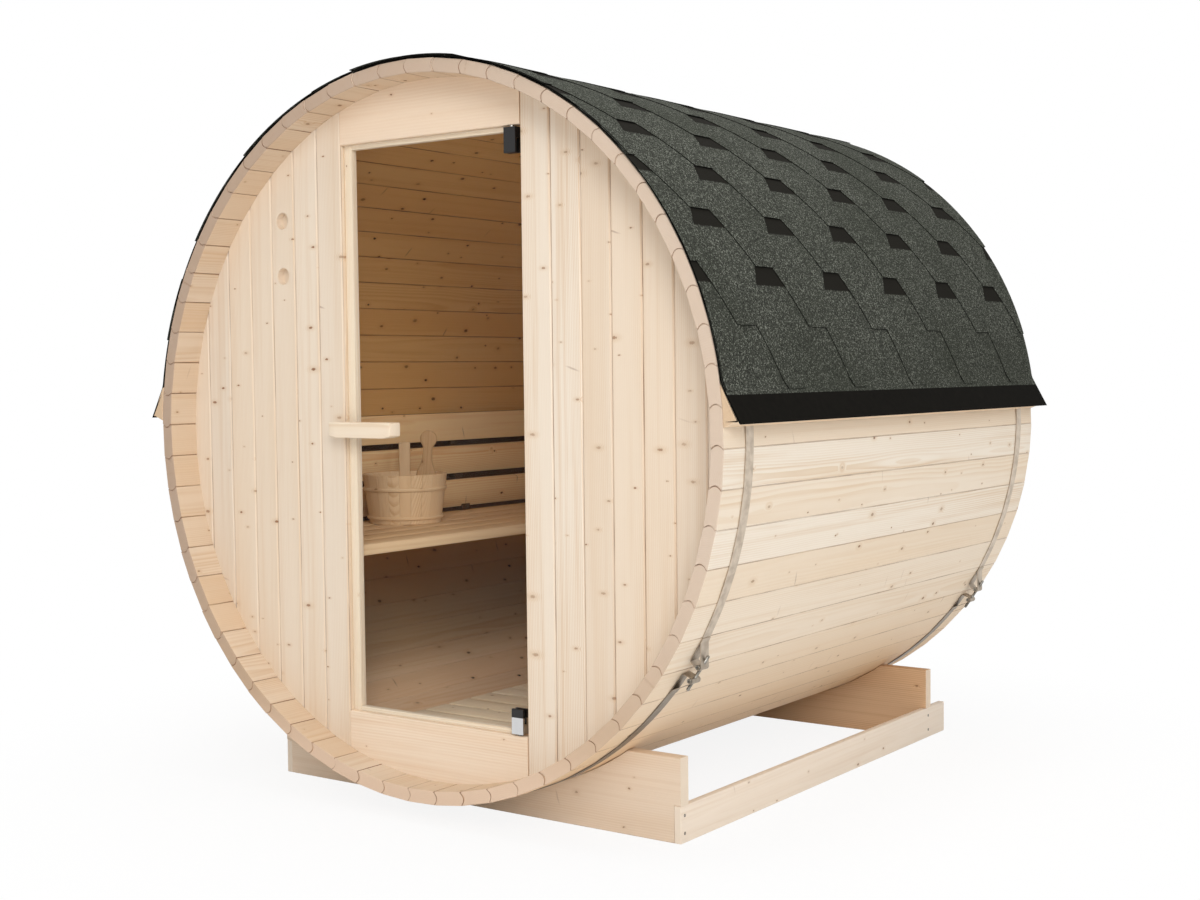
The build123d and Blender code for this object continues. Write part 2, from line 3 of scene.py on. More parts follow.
import bpy
import numpy as np
from mathutils import Matrix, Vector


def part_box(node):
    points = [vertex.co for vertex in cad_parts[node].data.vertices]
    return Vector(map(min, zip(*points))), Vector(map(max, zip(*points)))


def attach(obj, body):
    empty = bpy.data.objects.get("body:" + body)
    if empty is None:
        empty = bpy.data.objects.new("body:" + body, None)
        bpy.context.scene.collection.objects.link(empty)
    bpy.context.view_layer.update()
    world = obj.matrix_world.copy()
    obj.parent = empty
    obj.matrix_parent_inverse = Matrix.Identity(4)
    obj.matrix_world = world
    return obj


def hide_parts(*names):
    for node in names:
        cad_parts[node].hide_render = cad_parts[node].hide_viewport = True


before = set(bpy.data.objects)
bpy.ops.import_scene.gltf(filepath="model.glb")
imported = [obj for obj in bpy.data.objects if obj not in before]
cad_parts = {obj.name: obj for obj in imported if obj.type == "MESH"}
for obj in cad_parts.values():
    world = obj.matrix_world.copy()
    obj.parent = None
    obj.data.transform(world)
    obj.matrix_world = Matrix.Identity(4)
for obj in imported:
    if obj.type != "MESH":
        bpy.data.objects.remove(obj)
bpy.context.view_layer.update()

dice = np.random.default_rng(64)


def corners(node):
    """A CAD node's lowest and highest corners as arrays."""
    return [np.array(corner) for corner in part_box(node)]


# Sizes of the barrel and its end walls, in metres
wall_low, wall_high = corners("back_wall")
axis_z = (wall_low[2] + wall_high[2]) / 2
wall_radius = (wall_high[0] - wall_low[0]) / 2
wall_inner, wall_outer = wall_low[1], wall_high[1]
half_length = 0.9
barrel_radius = 0.935
stave_thickness = 0.035
stave_inner = barrel_radius - stave_thickness
stave_middle = (stave_inner + barrel_radius) / 2
lining_radius = stave_inner - 0.0006
stave_count = 64
pitch = 2 * math.pi / stave_count
first_stave = math.radians(-20.7875)
joint_gap = 0.0007
bead_depth, bead_half = 0.008, 0.0155
seat_radius = 0.93643
groove_radius = 0.912
door_left, door_right = -0.306, 0.302
doorway_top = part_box("door_lintel")[0][2]
doorway_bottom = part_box("door_sill")[1][2]
rest_x = -0.845
rest_low, rest_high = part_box("bench_seat")[1][2] - 0.01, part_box("backrest")[1][2]


class Shape:
    """Closed solids gathered into one mesh, each with the wood's own coordinates and a tone of its own."""

    def __init__(self):
        self.points, self.grain, self.tone, self.quads, self.caps = [], [], [], [], []
        self.quad_seam, self.quad_cut, self.cap_cut, self.count = [], [], [], 0

    def add(self, rows, local, tone=None, seam=None, hole=None, end_grain=1.0, bevel=0.0):
        """Rings of points at stations along a path, joined by quads, with a flat cap at each end.

        The solid's volume is the sum over its triangles of a corner's product with the other two crossed.
        Its sign says which way round the faces go. Seam marks the joint edges, end_grain and bevel say how
        much end grain the caps and the quads next to them show, and hole may open the sides.
        """
        stations, around = rows.shape[:2]
        index = np.arange(stations * around).reshape(stations, around)
        turned = np.roll(index, -1, 1)
        quads = np.stack([index[:-1], turned[:-1], turned[1:], index[1:]], -1)
        seam = np.zeros(quads.shape[:2]) if seam is None else seam
        cut = np.zeros(quads.shape[:2])
        cut[[0, -1]] = bevel
        caps = [index[0][::-1], index[-1]]
        points = rows.reshape(-1, 3)
        local = local.reshape(-1, 3)
        keep = np.ones(quads.shape[:2], bool)
        extra = np.zeros((0, 4), int)
        if hole is not None:
            points, local, extra, more_caps, keep = hole(points, local, index, keep)
            caps = caps + more_caps
        quads = np.concatenate([quads[keep], extra])
        seam = np.concatenate([seam[keep], np.zeros(len(extra))])
        cut = np.concatenate([cut[keep], np.zeros(len(extra))])
        middle = points.mean(0)
        a, b, c, d = (points[quads[:, corner]] - middle for corner in range(4))
        volume = (np.cross(a, b) * c).sum() + (np.cross(a, c) * d).sum()
        for cap in caps:
            ring = points[cap] - middle
            hub = np.broadcast_to(ring.mean(0), ring.shape)
            volume += (np.cross(hub, ring) * np.roll(ring, -1, 0)).sum()
        if volume < 0:
            quads = quads[:, ::-1]
            caps = [cap[::-1] for cap in caps]
        used = np.unique(np.concatenate([quads.ravel(), *caps]))
        place = np.full(len(points), -1)
        place[used] = np.arange(len(used)) + self.count
        lean = dice.uniform(0, 2 * math.pi)
        pith = dice.uniform(0.03, 0.13)
        shift = np.array([dice.uniform(0, 30), pith * math.cos(lean), pith * math.sin(lean)])
        board_tone = dice.uniform() if tone is None else tone
        self.points.append(points[used])
        self.grain.append(local[used] + shift)
        self.tone.append(np.full(len(used), board_tone))
        self.quads.append(place[quads])
        self.quad_seam.append(seam)
        self.quad_cut.append(cut)
        self.caps += [place[cap] for cap in caps]
        self.cap_cut += [np.full(len(cap), end_grain) for cap in caps]
        self.count += len(used)

    def piece(self, name, finish, slot, nodes=(), body="sauna", crease=32):
        """Makes the mesh, rides it on its body and lets it stand for its nodes."""
        faces = np.concatenate(self.quads).tolist() + [cap.tolist() for cap in self.caps]
        mesh = bpy.data.meshes.new(name)
        mesh.from_pydata(np.concatenate(self.points).tolist(), [], faces)
        cap_cut = np.concatenate(self.cap_cut)
        cut = np.concatenate([np.repeat(np.concatenate(self.quad_cut), 4), cap_cut])
        seam = np.concatenate([np.repeat(np.concatenate(self.quad_seam), 4), np.zeros(len(cap_cut))])
        attributes = (
            ("grain", "FLOAT_VECTOR", "POINT", "vector", np.concatenate(self.grain).ravel()),
            ("tone", "FLOAT", "POINT", "value", np.concatenate(self.tone)),
            ("cut", "FLOAT", "CORNER", "value", cut),
            ("seam", "FLOAT", "CORNER", "value", seam),
        )
        for word, kind, domain, key, values in attributes:
            mesh.attributes.new(word, kind, domain).data.foreach_set(key, values)
        mesh.polygons.foreach_set("use_smooth", np.ones(len(faces), bool))
        mesh.set_sharp_from_angle(angle=math.radians(crease))
        mesh.update()
        made = bpy.data.objects.new(name, mesh)
        bpy.context.scene.collection.objects.link(made)
        mesh.materials.append(finish)
        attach(made, body)
        if nodes:
            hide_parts(*nodes)


def plank(shape, low, high, along, ease, turn=0.0):
    """A board with eased edges: a rounded rectangle carried along the board and drawn in at each end.

    A corner's points are its centre plus the ease times the cosine and sine of their angle.
    """
    low, high = np.array(low, float), np.array(high, float)
    centre, half = (low + high) / 2, (high - low) / 2
    order = [along] + sorted({0, 1, 2} - {along}, key=lambda axis: -half[axis])
    axes = np.eye(3)[order]
    spin = np.array([
        [math.cos(turn), 0, -math.sin(turn)],
        [0, 1, 0],
        [math.sin(turn), 0, math.cos(turn)],
    ])
    length, breadth, depth = half[order]
    angle = np.radians([0, 45, 90, 90, 135, 180, 180, 225, 270, 270, 315, 360])
    bend = np.radians([15, 50, 90])
    step = ease * (np.cos(bend[0]) - np.cos(bend))
    reach = ease * np.sin(bend)
    run = np.concatenate([step - length, length - step[::-1]])[:, None]
    reach = np.concatenate([reach, reach[::-1]])[:, None]
    wide = np.repeat([1, -1, -1, 1], 3) * (breadth - ease) + reach * np.cos(angle)
    deep = np.repeat([1, 1, -1, -1], 3) * (depth - ease) + reach * np.sin(angle)
    local = np.stack([np.broadcast_to(run, wide.shape), wide, deep], -1)
    shape.add(centre + local @ axes @ spin, local)


def upright(shape, run, inset, front, back, low, high, ease, upgrain,
            levels=(), hole=None, tone=None, seamed=0.0):
    """A board standing across the barrel, its outline free along the top and the bottom.

    At each place along X the section is a rectangle from front to back and from low to high, its corners
    eased. The grain runs up the board or along X.
    """
    run, inset, low, high = (
        np.broadcast_to(np.asarray(value, float), np.shape(run))[:, None]
        for value in (run, inset, low, high)
    )
    ease_z = np.minimum(ease, (high - low) / 4)
    levels = np.broadcast_to(np.asarray(levels, float), (len(run), len(levels)))
    fore, rear = front + inset, back - inset
    face = np.repeat(fore, levels.shape[1] + 2, 1)
    y = np.hstack([face, fore + ease, rear - ease, rear, rear, rear - ease, fore + ease])
    z = np.hstack([low + ease_z, levels, high - ease_z, high, high, high - ease_z, low + ease_z, low, low])
    x = np.broadcast_to(run, y.shape)
    rows = np.stack([x, y, z], -1)
    if upgrain:
        local = np.stack([z - axis_z, x, y - front], -1)
    else:
        local = np.stack([x, z - axis_z, y - front], -1)
    seam = np.zeros((len(rows) - 1, rows.shape[1]))
    seam[[0, -1]] = seamed
    shape.add(rows, local, tone, seam, hole, 0.0 if upgrain else 1.0)


def circle_rise(run, radius):
    """Height of a circle round the axis above it, at each place along X."""
    return np.sqrt(np.maximum(radius**2 - np.asarray(run) ** 2, 1e-8))


def operator(operation, swap=False):
    """A Wire's method that adds one Math node, with the Wire in its first place, or its second if swapped."""

    def apply(self, value=None):
        pair = (value, self) if swap else (self, value)
        values = {place: item for place, item in enumerate(pair) if item is not None}
        return self.nodes.node("Math", {"operation": operation}, values)

    return apply


class Wire:
    """A socket that takes part in Python sums: each operation on it adds one Math node."""

    __add__, __radd__ = operator("ADD"), operator("ADD", True)
    __sub__, __rsub__ = operator("SUBTRACT"), operator("SUBTRACT", True)
    __mul__, __rmul__ = operator("MULTIPLY"), operator("MULTIPLY", True)
    __truediv__, __rtruediv__ = operator("DIVIDE"), operator("DIVIDE", True)
    __pow__, __rpow__ = operator("POWER"), operator("POWER", True)
    __gt__, __lt__ = operator("GREATER_THAN"), operator("LESS_THAN")
    either = operator("MAXIMUM")
    fraction = operator("FRACT")
    size = operator("ABSOLUTE")

    def __init__(self, nodes, socket):
        self.nodes, self.socket = nodes, socket

    def other(self, output):
        """Another output of the same node."""
        return Wire(self.nodes, self.socket.node.outputs[output])


class Nodes:
    """A node tree and the few kinds of node that the finishes are made of."""

    def __init__(self, tree):
        self.tree = tree

    def feed(self, node, values):
        """Sets a node's sockets to values, or links them."""
        for key, value in values.items():
            if isinstance(value, Wire):
                self.tree.links.new(value.socket, node.inputs[key])
            else:
                node.inputs[key].default_value = value

    def node(self, kind, settings, values, output=0):
        """Any node: its settings first, then its sockets."""
        made = self.tree.nodes.new("ShaderNode" + kind)
        for key, value in settings.items():
            setattr(made, key, value)
        self.feed(made, values)
        return Wire(self, made.outputs[output])

    def attribute(self, name, output="Fac"):
        """A mesh's own attribute."""
        return self.node("Attribute", {"attribute_name": name}, {}, output)

    def place(self):
        """The point's place in the shared frame."""
        return self.node("TexCoord", {}, {}, "Object")

    def split(self, vector):
        """A vector's or a colour's three parts."""
        x = self.node("SeparateXYZ", {}, {0: vector})
        return x, x.other(1), x.other(2)

    def noise(self, vector, scale, detail=2.0, rough=0.5):
        """Noise of so many waves a metre, or of three such numbers along the three axes."""
        if not isinstance(scale, float):
            vector = self.node("VectorMath", {"operation": "MULTIPLY"}, {0: vector, 1: scale})
            scale = 1.0
        values = {"Vector": vector, "Scale": scale, "Detail": detail, "Roughness": rough}
        return self.node("TexNoise", {}, values)

    def cells(self, across, up):
        """Distance from the nearest point of a flat Voronoi pattern, whose Color is the cell's own."""
        flat = self.node("CombineXYZ", {}, {0: across, 1: up, 2: 0.0})
        return self.node("TexVoronoi", {"voronoi_dimensions": "2D"}, {"Vector": flat, "Scale": 1.0})

    def rise(self, value, low, high, smooth=True):
        """Climbs from 0 at low to 1 at high."""
        kind = {"interpolation_type": "SMOOTHSTEP" if smooth else "LINEAR"}
        return self.node("MapRange", kind, {"Value": value, "From Min": low, "From Max": high})

    def mix(self, first, second, share, blend="MIX"):
        """A share of the second colour over the first."""
        kind = {"data_type": "RGBA", "blend_type": blend, "clamp_factor": True}
        return self.node("Mix", kind, {0: share, 6: first, 7: second}, 2)

    def bump(self, height, distance, strength):
        """A normal that follows a height."""
        return self.node("Bump", {}, {"Height": height, "Distance": distance, "Strength": strength})


class Finish(Nodes):
    """One material: its Principled shader and the nodes that feed it."""

    def __init__(self, name):
        self.material = bpy.data.materials.new(name)
        self.material.use_nodes = True
        super().__init__(self.material.node_tree)
        self.shader = self.tree.nodes["Principled BSDF"]

    def wear(self, **values):
        """Feeds the Principled shader and gives the material."""
        self.feed(self.shader, {key.replace("_", " "): value for key, value in values.items()})
        return self.material

    def surface(self, shader):
        """Shows another shader in place of the Principled one."""
        self.feed(self.tree.nodes["Material Output"], {"Surface": shader})
        self.tree.nodes.remove(self.shader)
        return self.material


def paint(red, green, blue):
    """A colour as it shows on a screen, 0 to 255, turned into the linear values that a shader takes."""
    shown = np.array([red, green, blue]) / 255
    linear = np.where(shown <= 0.04045, shown / 12.92, ((shown + 0.055) / 1.055) ** 2.4)
    return (*linear.tolist(), 1.0)


def cabin_masks(made, cut):
    """Where a stave faces inwards: its distance from the barrel's axis is that of its inner face.

    The room is the part of that between the end walls.
    """
    x, y, z = made.split(made.place())
    axis_distance = (x * x + (z - axis_z) * (z - axis_z)) ** 0.5
    lined = (1 - made.rise(axis_distance, stave_inner + 0.004, stave_inner + 0.012)) * (1 - cut)
    return x, z, lined, lined * (y.size() < wall_outer)


def knot_marks(made, grain, knots, spread, room):
    """Knots with their halos, and short spikes across the grain, each in some cells of a Voronoi pattern.

    A knot is dark within its reach of the cell's point, with a ragged edge, and the halo reaches further.
    """
    along, across, _ = made.split(grain)
    cell = made.cells(along / spread[0], across / spread[1])
    chance, shade, size = made.split(cell.other("Color"))
    picked = chance > 1 - knots - room * 0.3
    reach = picked * (0.018 + 0.048 * size**2.0 + room * 0.012) + 0.0002
    ragged = cell + (made.noise(grain, (120.0, 260.0, 260.0), 1.0) - 0.5) * 0.045
    eye = (1 - made.rise(ragged, reach * 0.5, reach)) * picked
    halo = (1 - made.rise(cell, 0.0, reach * 3.4)) * picked
    slip = made.noise(grain, (30.0, 30.0, 30.0), 1.0)
    branch = made.cells(along / 0.045 + across * 6.0 + slip * 0.15, across / 0.34)
    luck, fade, _ = made.split(branch.other("Color"))
    spike = (1 - made.rise(branch, 0.01, 0.08)) * (luck > 0.9) * (0.25 + 0.75 * fade)
    return eye, shade, halo, spike


def wood(name, pale, late, warm, knot, end, ring=0.0052, figure=0.5, knots=0.5,
         spread=(0.15, 0.09), ash=None, inside=None):
    """Sawn softwood from each board's own coordinates: growth rings round a pith beside the board.

    The rings' radius wanders along the board and swells round knots, and each ring darkens from its pale wood
    to its late wood. Boards differ in warmth by their tone, and with ash some of them turn grey. Joints show
    as brown lines, patchy along them. The inside tint takes over on the staves' inner faces, most of all in
    the room, with painted shade in it, and the staves' outer faces and end grain get painted light and shade.
    """
    pale, late, warm, knot, end = (paint(*shown) for shown in (pale, late, warm, knot, end))
    made = Finish(name)
    grain = made.attribute("grain", "Vector")
    tone, cut, seam = (made.attribute(word) for word in ("tone", "cut", "seam"))
    room = 0.0
    if inside is not None:
        x, z, lined, room = cabin_masks(made, cut)
    eye, shade, halo, spike = knot_marks(made, grain, knots, spread, room)

    # Rings
    _, across, deep = made.split(grain)
    wander = made.noise(grain, (0.8, 5.0, 5.0)) - 0.5
    ripple = made.noise(grain, (4.0, 26.0, 26.0), 1.0) - 0.5
    radius = (across * across + deep * deep) ** 0.5 + wander * 0.030 + ripple * 0.0035 + halo * 0.008
    phase = (radius / ring).fraction()
    dark = made.rise(phase, 0.2, 0.86) * (1 - made.rise(phase, 0.9, 1.0))

    # Colour along and across the board
    cloud = made.noise(grain, (0.7, 9.0, 9.0))
    streak = made.noise(grain, (0.9, 70.0, 70.0), 3.0)
    blush = made.noise(grain, (1.4, 34.0, 34.0), 3.0)
    fibre = made.noise(grain, (7.0, 380.0, 380.0))
    strength = figure * (0.2 + 1.2 * made.rise(cloud, 0.35, 0.7))
    late_share = dark * strength + (fibre - 0.5) * 0.22 + made.rise(streak, 0.5, 0.76) * 0.4
    colour = made.mix(pale, late, late_share)
    colour = made.mix(colour, late, made.rise(blush, 0.55, 0.72) * 0.3)
    colour = made.mix(colour, warm, tone * 0.7 + made.rise(cloud, 0.48, 0.75) * 0.35)
    colour = made.mix(colour, late, halo * 0.5)
    mark, joint = knot, seam
    if ash is not None:
        colour = made.mix(colour, paint(*ash), made.rise((tone * 5.17).fraction(), 0.4, 1.0) * 0.45)
        joint = seam * (0.6 + 1.3 * (tone * 3.7).fraction())

    # Painted shade and light on the barrel: low down outside, on the inner faces and on the end grain
    if inside is not None:
        outside = 1 - lined
        # Painted shade: outside, the staves turn warmer and darker towards the bottom of the barrel
        colour = made.mix(colour, warm, (1 - made.rise(z, 0.1, 0.75)) * outside * 0.6)
        colour = made.mix(colour, paint(232, 196, 153), (1 - made.rise(z, 0.14, 0.48)) * outside * 0.8)
        # Painted shade on the inner faces: light at the bottom, darkest under the bench, the inside tint
        # above
        tint = made.mix(paint(237, 220, 204), paint(160, 141, 115), made.rise(z, 0.20, 0.34))
        tint = made.mix(tint, paint(*inside), made.rise(z, 0.38, 0.62))
        # Painted shade: a milder darkening on the inner faces in front of the end walls
        tint = made.mix(paint(232, 222, 212), tint, room)
        # Painted shade: the staves that the backrest covers are darkened, so its gaps look deep
        behind_rest_shade = room * (x < rest_x) * (z > rest_low) * (z < rest_high)
        tint = made.mix(tint, paint(96, 70, 48), behind_rest_shade)
        colour = made.mix(colour, tint, lined, "MULTIPLY")
        joint = seam * (1 - room * (1 - made.rise(z, 0.5, 0.62)) * 0.8)
        mark = made.mix(knot, paint(38, 20, 8), room)
        # Painted light and shade on the stave ends: paler towards the right, and changed by height low down
        end = made.mix(end, paint(210, 188, 168), made.rise(x, -0.5, 0.85))
        low_end_shade = made.mix(paint(230, 202, 178), paint(190, 160, 131), made.rise(z, 0.1, 0.34))
        end = made.mix(end, low_end_shade, (1 - made.rise(z, 0.2, 0.75)) * 0.8)

    # Knots, end grain and joints over it
    colour = made.mix(colour, mark, spike * 0.55)
    colour = made.mix(colour, mark, eye * (0.3 + 0.7 * shade))
    colour = made.mix(colour, end, cut * 0.85)
    # Joint lines, patchy along their length
    patchy = made.rise(made.noise(grain, (5.0, 1.0, 1.0)), 0.35, 0.65)
    colour = made.mix(colour, paint(122, 80, 54), joint * (0.3 + 0.7 * patchy))
    return made.wear(
        Base_Color=colour,
        Roughness=0.55 + dark * 0.08 + eye * 0.2,
        Specular_IOR_Level=0.2,
        Normal=made.bump(dark * 0.5 + fibre * 0.5 + eye * 0.8, 0.0006, 0.4),
    )


# Woods: pale, late and warm wood, knot and end grain as they show on a screen
stave_wood = wood(
    "stave_wood", (244, 233, 217), (220, 192, 158), (237, 216, 189), (140, 104, 76), (176, 148, 126),
    knots=0.66, inside=(236, 203, 148))
wall_wood = wood(
    "wall_board_wood", (241, 228, 211), (216, 184, 148), (233, 211, 185), (144, 98, 68), (226, 198, 168),
    knots=0.8, ash=(216, 200, 182), spread=(0.08, 0.17))
door_board_wood = wood(
    "door_board_wood", (247, 230, 209), (222, 188, 153), (241, 216, 189), (150, 108, 80), (230, 202, 172),
    ring=0.008, knots=0.4)
# Painted light: the stop strips are paler than the other boards, to lift the shade they lie in behind the
# glass
lit_stop_wood = wood(
    "stop_strip_lit_wood", (254, 247, 235), (236, 214, 188), (248, 234, 216), (150, 108, 80), (240, 214, 186))
floor_wood = wood(
    "floor_slat_wood", (255, 246, 228), (216, 182, 140), (246, 230, 202), (110, 72, 44), (232, 208, 180),
    figure=0.7, knots=0.4)
cradle_wood = wood(
    "cradle_plank_wood", (238, 222, 203), (210, 182, 152), (230, 208, 184), (136, 98, 68), (236, 220, 200),
    ring=0.006, knots=0.4)
rail_wood = wood(
    "rail_board_wood", (244, 231, 215), (224, 202, 178), (238, 221, 202), (146, 110, 82), (240, 226, 208),
    ring=0.006, figure=0.35, knots=0.4)
bench_wood = wood(
    "bench_board_wood", (242, 219, 188), (202, 158, 110), (232, 202, 162), (104, 64, 36), (224, 192, 158),
    figure=0.7, knots=0.4)
backrest_wood = wood(
    "backrest_board_wood", (255, 232, 190), (232, 182, 128), (255, 218, 168), (104, 64, 36), (224, 192, 158),
    knots=0.4)
bucket_wood = wood(
    "bucket_wood", (242, 219, 187), (212, 174, 130), (234, 204, 166), (150, 106, 70), (226, 196, 160),
    ring=0.004, figure=0.7, knots=0.12)
ladle_wood = wood(
    "ladle_wood", (204, 172, 134), (168, 128, 86), (194, 158, 118), (130, 90, 58), (210, 176, 136),
    ring=0.004, figure=0.7, knots=0.1)
handle_wood = wood(
    "handle_bar_wood", (244, 228, 206), (224, 194, 158), (240, 219, 193), (170, 124, 84), (246, 230, 208),
    ring=0.004, knots=0.08)
# Painted shade: the rear cradle is darker and warmer than the front one, as it lies under the barrel; its
# strong figure is its own
shaded_rear_wood = wood(
    "cradle_rear_shaded_wood", (224, 192, 158), (182, 140, 104), (212, 174, 136), (120, 80, 52), (236, 218, 196),
    ring=0.006, figure=0.8, knots=0.4)
wedge_wood = wood(
    "eave_wedge_wood", (240, 220, 194), (212, 178, 140), (236, 208, 176), (136, 94, 62), (212, 182, 148),
    knots=0.35)
# Painted shade: the battens are near black brown, so the gaps in the backrest look deep
batten_shade_wood = wood(
    "batten_shade_wood", (86, 64, 44), (62, 44, 28), (78, 56, 38), (40, 26, 16), (80, 58, 40), knots=0.3)


def shingle_finish():
    """Bitumen sheet strewn with mineral granules, bare and black on its cut edges and along its dark band.

    The sheet's own coordinates hold the way down from the band's upper edge, and where the sheet is bare.
    """
    made = Finish("shingle_granules")
    spot = made.place()
    granules = made.node("TexVoronoi", {}, {"Vector": spot, "Scale": 400.0}, "Color")
    pick, lift, _ = made.split(granules)
    fine = made.noise(spot, 900.0, 2.0, 0.7)
    broad = made.noise(spot, 3.5, 3.0)
    down, _, bare = made.split(made.attribute("grain", "Vector"))
    edge = down + (made.noise(spot, 260.0, 1.0) - 0.5) * 0.008
    band = made.rise(edge, -0.004, 0.0) * (1 - made.rise(edge, 0.047, 0.051))
    speckle = made.rise(pick, 0.1, 0.9, False) * 0.75 + fine * 0.25
    stone = made.mix(paint(28, 29, 26), paint(86, 88, 80), speckle)
    stone = made.mix(stone, paint(136, 139, 128), (pick > 0.87) * 0.7)
    stone = made.mix(stone, paint(50, 53, 45), made.rise(broad, 0.4, 0.7) * 0.4)
    stone = made.mix(stone, made.mix(paint(22, 21, 18), paint(38, 36, 31), fine), band)
    tar = made.mix(paint(12, 11, 9), paint(24, 22, 18), made.noise(spot, 60.0, 3.0))
    black = made.rise(bare + (fine - 0.5) * 0.3, 0.45, 0.55)
    colour = made.mix(stone, tar, black)
    colour = made.mix(colour, paint(16, 15, 13), made.attribute("cut") + made.attribute("seam"))
    height = (pick * 0.6 + lift * 0.4) * (1 - black * 0.9)
    return made.wear(
        Base_Color=colour,
        Roughness=0.95,
        Specular_IOR_Level=0.05,
        Normal=made.bump(height, 0.0012, 0.7),
    )


def steel_finish(name, pale, dark, rough):
    """Zinced steel: a cloudy spangle, fine drawn lines along the strap and painted shade low down."""
    made = Finish(name)
    spot = made.place()
    cloud = made.noise(spot, 45.0, 3.0)
    line = made.noise(spot, (18.0, 900.0, 18.0))
    spangle = made.split(made.node("TexVoronoi", {}, {"Vector": spot, "Scale": 160.0}, "Color"))[0]
    share = made.rise(cloud, 0.35, 0.7) * 0.6 + line * 0.25 + spangle * 0.15
    # Painted shade and reflection of the dark underside: the steel turns darker towards the bottom
    low_shade = (1 - made.rise(made.split(spot)[2], 0.28, 0.62)) * 0.8
    return made.wear(
        Base_Color=made.mix(made.mix(pale, dark, share), paint(112, 104, 94), low_shade),
        Metallic=1.0,
        Roughness=rough + cloud * 0.14,
        Normal=made.bump(line, 0.0002, 0.25),
    )


def pivot_finish(name, split_height):
    """Polished chrome below a height and satin black above it, with faint wiping marks."""
    made = Finish(name)
    spot = made.place()
    black = made.split(spot)[2] > split_height
    smear = made.noise(spot, (60.0, 60.0, 12.0), 3.0)
    colour = made.mix(paint(214, 214, 214), paint(14, 14, 15), black)
    return made.wear(
        Base_Color=made.mix(colour, paint(60, 58, 56), smear * 0.12),
        Metallic=1 - black * 0.9,
        Roughness=0.09 + black * 0.2 + smear * 0.1,
    )


def glass_finish():
    """Bronze tinted pane, clear through the sheet.

    Its mirror grows with the fifth power towards grazing and a film adds a little to it. More mirror low down
    paints in the floor's reflection.
    """
    made = Finish("door_glass")
    spot = made.place()
    film = made.rise(made.noise(spot, (3.0, 3.0, 1.4), 3.0), 0.5, 0.8)
    facing = made.node("LayerWeight", {}, {"Blend": 0.5}, "Facing")
    # Painted reflection: the mirror share grows towards the bottom of the pane
    floor_reflection = 1 - made.rise(made.split(spot)[2], 0.20, 0.78)
    share = 0.004 + 0.7 * facing**5.0 + floor_reflection * 0.007 + film * 0.004
    clear = made.node("BsdfTransparent", {}, {"Color": (0.985, 0.972, 0.945, 1.0)})
    mirror = made.node("BsdfGlossy", {}, {"Color": (0.95, 0.95, 0.95, 1.0), "Roughness": 0.015})
    return made.surface(made.node("MixShader", {}, {0: share, 1: clear, 2: mirror}))


shingle = shingle_finish()
strap_steel = steel_finish("hoop_steel", paint(222, 208, 190), paint(188, 172, 154), 0.42)
pin_steel = steel_finish("pin_steel", paint(190, 188, 182), paint(132, 128, 120), 0.3)


def dress(node, finish):
    """Gives a CAD node that keeps its own shape a better finish."""
    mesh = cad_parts[node].data
    mesh.materials.clear()
    mesh.materials.append(finish)


# Staves: an outline with a bead on one edge and a cove on the other, drawn along the barrel
edge_points = 13
arris = 0.0014
end_shoulder = 0.0014
groove_step = 0.0002
recess_most, end_most = 0.0007, 0.0032
stave_half = np.array([stave_thickness / 2, 0.045])


def stave_outline(inner, recess):
    """Half width at a radius is that radius times the tangent of half a pitch, less half a joint.

    Both edges are moved by one parabola, highest at the stave's middle.
    """
    outer = barrel_radius - recess
    radius = np.linspace(stave_inner + arris, outer - arris, edge_points)
    radius = np.maximum(radius, inner + arris)
    bow = np.clip((radius - stave_middle) / bead_half, -1, 1)
    bead = bead_depth * (1 - bow**2)
    half, top, foot = (at * math.tan(pitch / 2) - joint_gap / 2 for at in (radius, outer, inner))
    radial = np.concatenate([radius, [outer, outer], radius[::-1], [inner, inner]])
    tangent = np.concatenate([
        bead - half, [arris - top, top - arris], (bead + half)[::-1], [foot - arris, arris - foot],
    ])
    return radial, tangent


def stave(shape, turn):
    """The outline at places along the barrel, cut back to the groove's radius where an end wall sits.

    At both ends it is drawn in towards its middle, which eases the edges of the end grain.
    """
    recess = dice.uniform(0, recess_most)
    ends = dice.uniform(0, end_most, 2)
    front, back = ends[0] - half_length, half_length - ends[1]
    places = np.array([
        front, front + end_shoulder,
        -wall_outer, groove_step - wall_outer, -wall_inner - groove_step, -wall_inner,
        wall_inner, wall_inner + groove_step, wall_outer - groove_step, wall_outer,
        back - end_shoulder, back,
    ])
    grooved = np.array([0, 0, 0, 1, 1, 0, 0, 1, 1, 0, 0, 0])[:, None, None]
    outline = np.where(grooved, stave_outline(groove_radius, recess), stave_outline(stave_inner, recess))
    middle = np.array([stave_middle, bead_depth / 2])[:, None]
    drawn = (1 - end_shoulder / stave_half)[:, None]
    outline[[0, -1]] = middle + (outline[[0, -1]] - middle) * drawn
    radial, tangent = outline[:, 0], outline[:, 1]
    along = np.broadcast_to(places[:, None], radial.shape)
    rows = np.stack([
        radial * math.cos(turn) - tangent * math.sin(turn),
        along,
        axis_z + radial * math.sin(turn) + tangent * math.cos(turn),
    ], -1)
    first_top, second_edge, second_foot = edge_points - 1, edge_points + 2, 2 * edge_points + 1
    seam = np.zeros((len(rows) - 1, rows.shape[1]))
    seam[:, [first_top, second_edge - 1]] = 0.5
    seam[:, [second_foot, second_foot + 2]] = 0.9
    seam[[0, -1], :first_top] = 0.8
    seam[[0, -1], second_edge:second_foot] = 0.8
    shape.add(rows, np.stack([along, tangent, radial - barrel_radius], -1), None, seam, bevel=1.0)


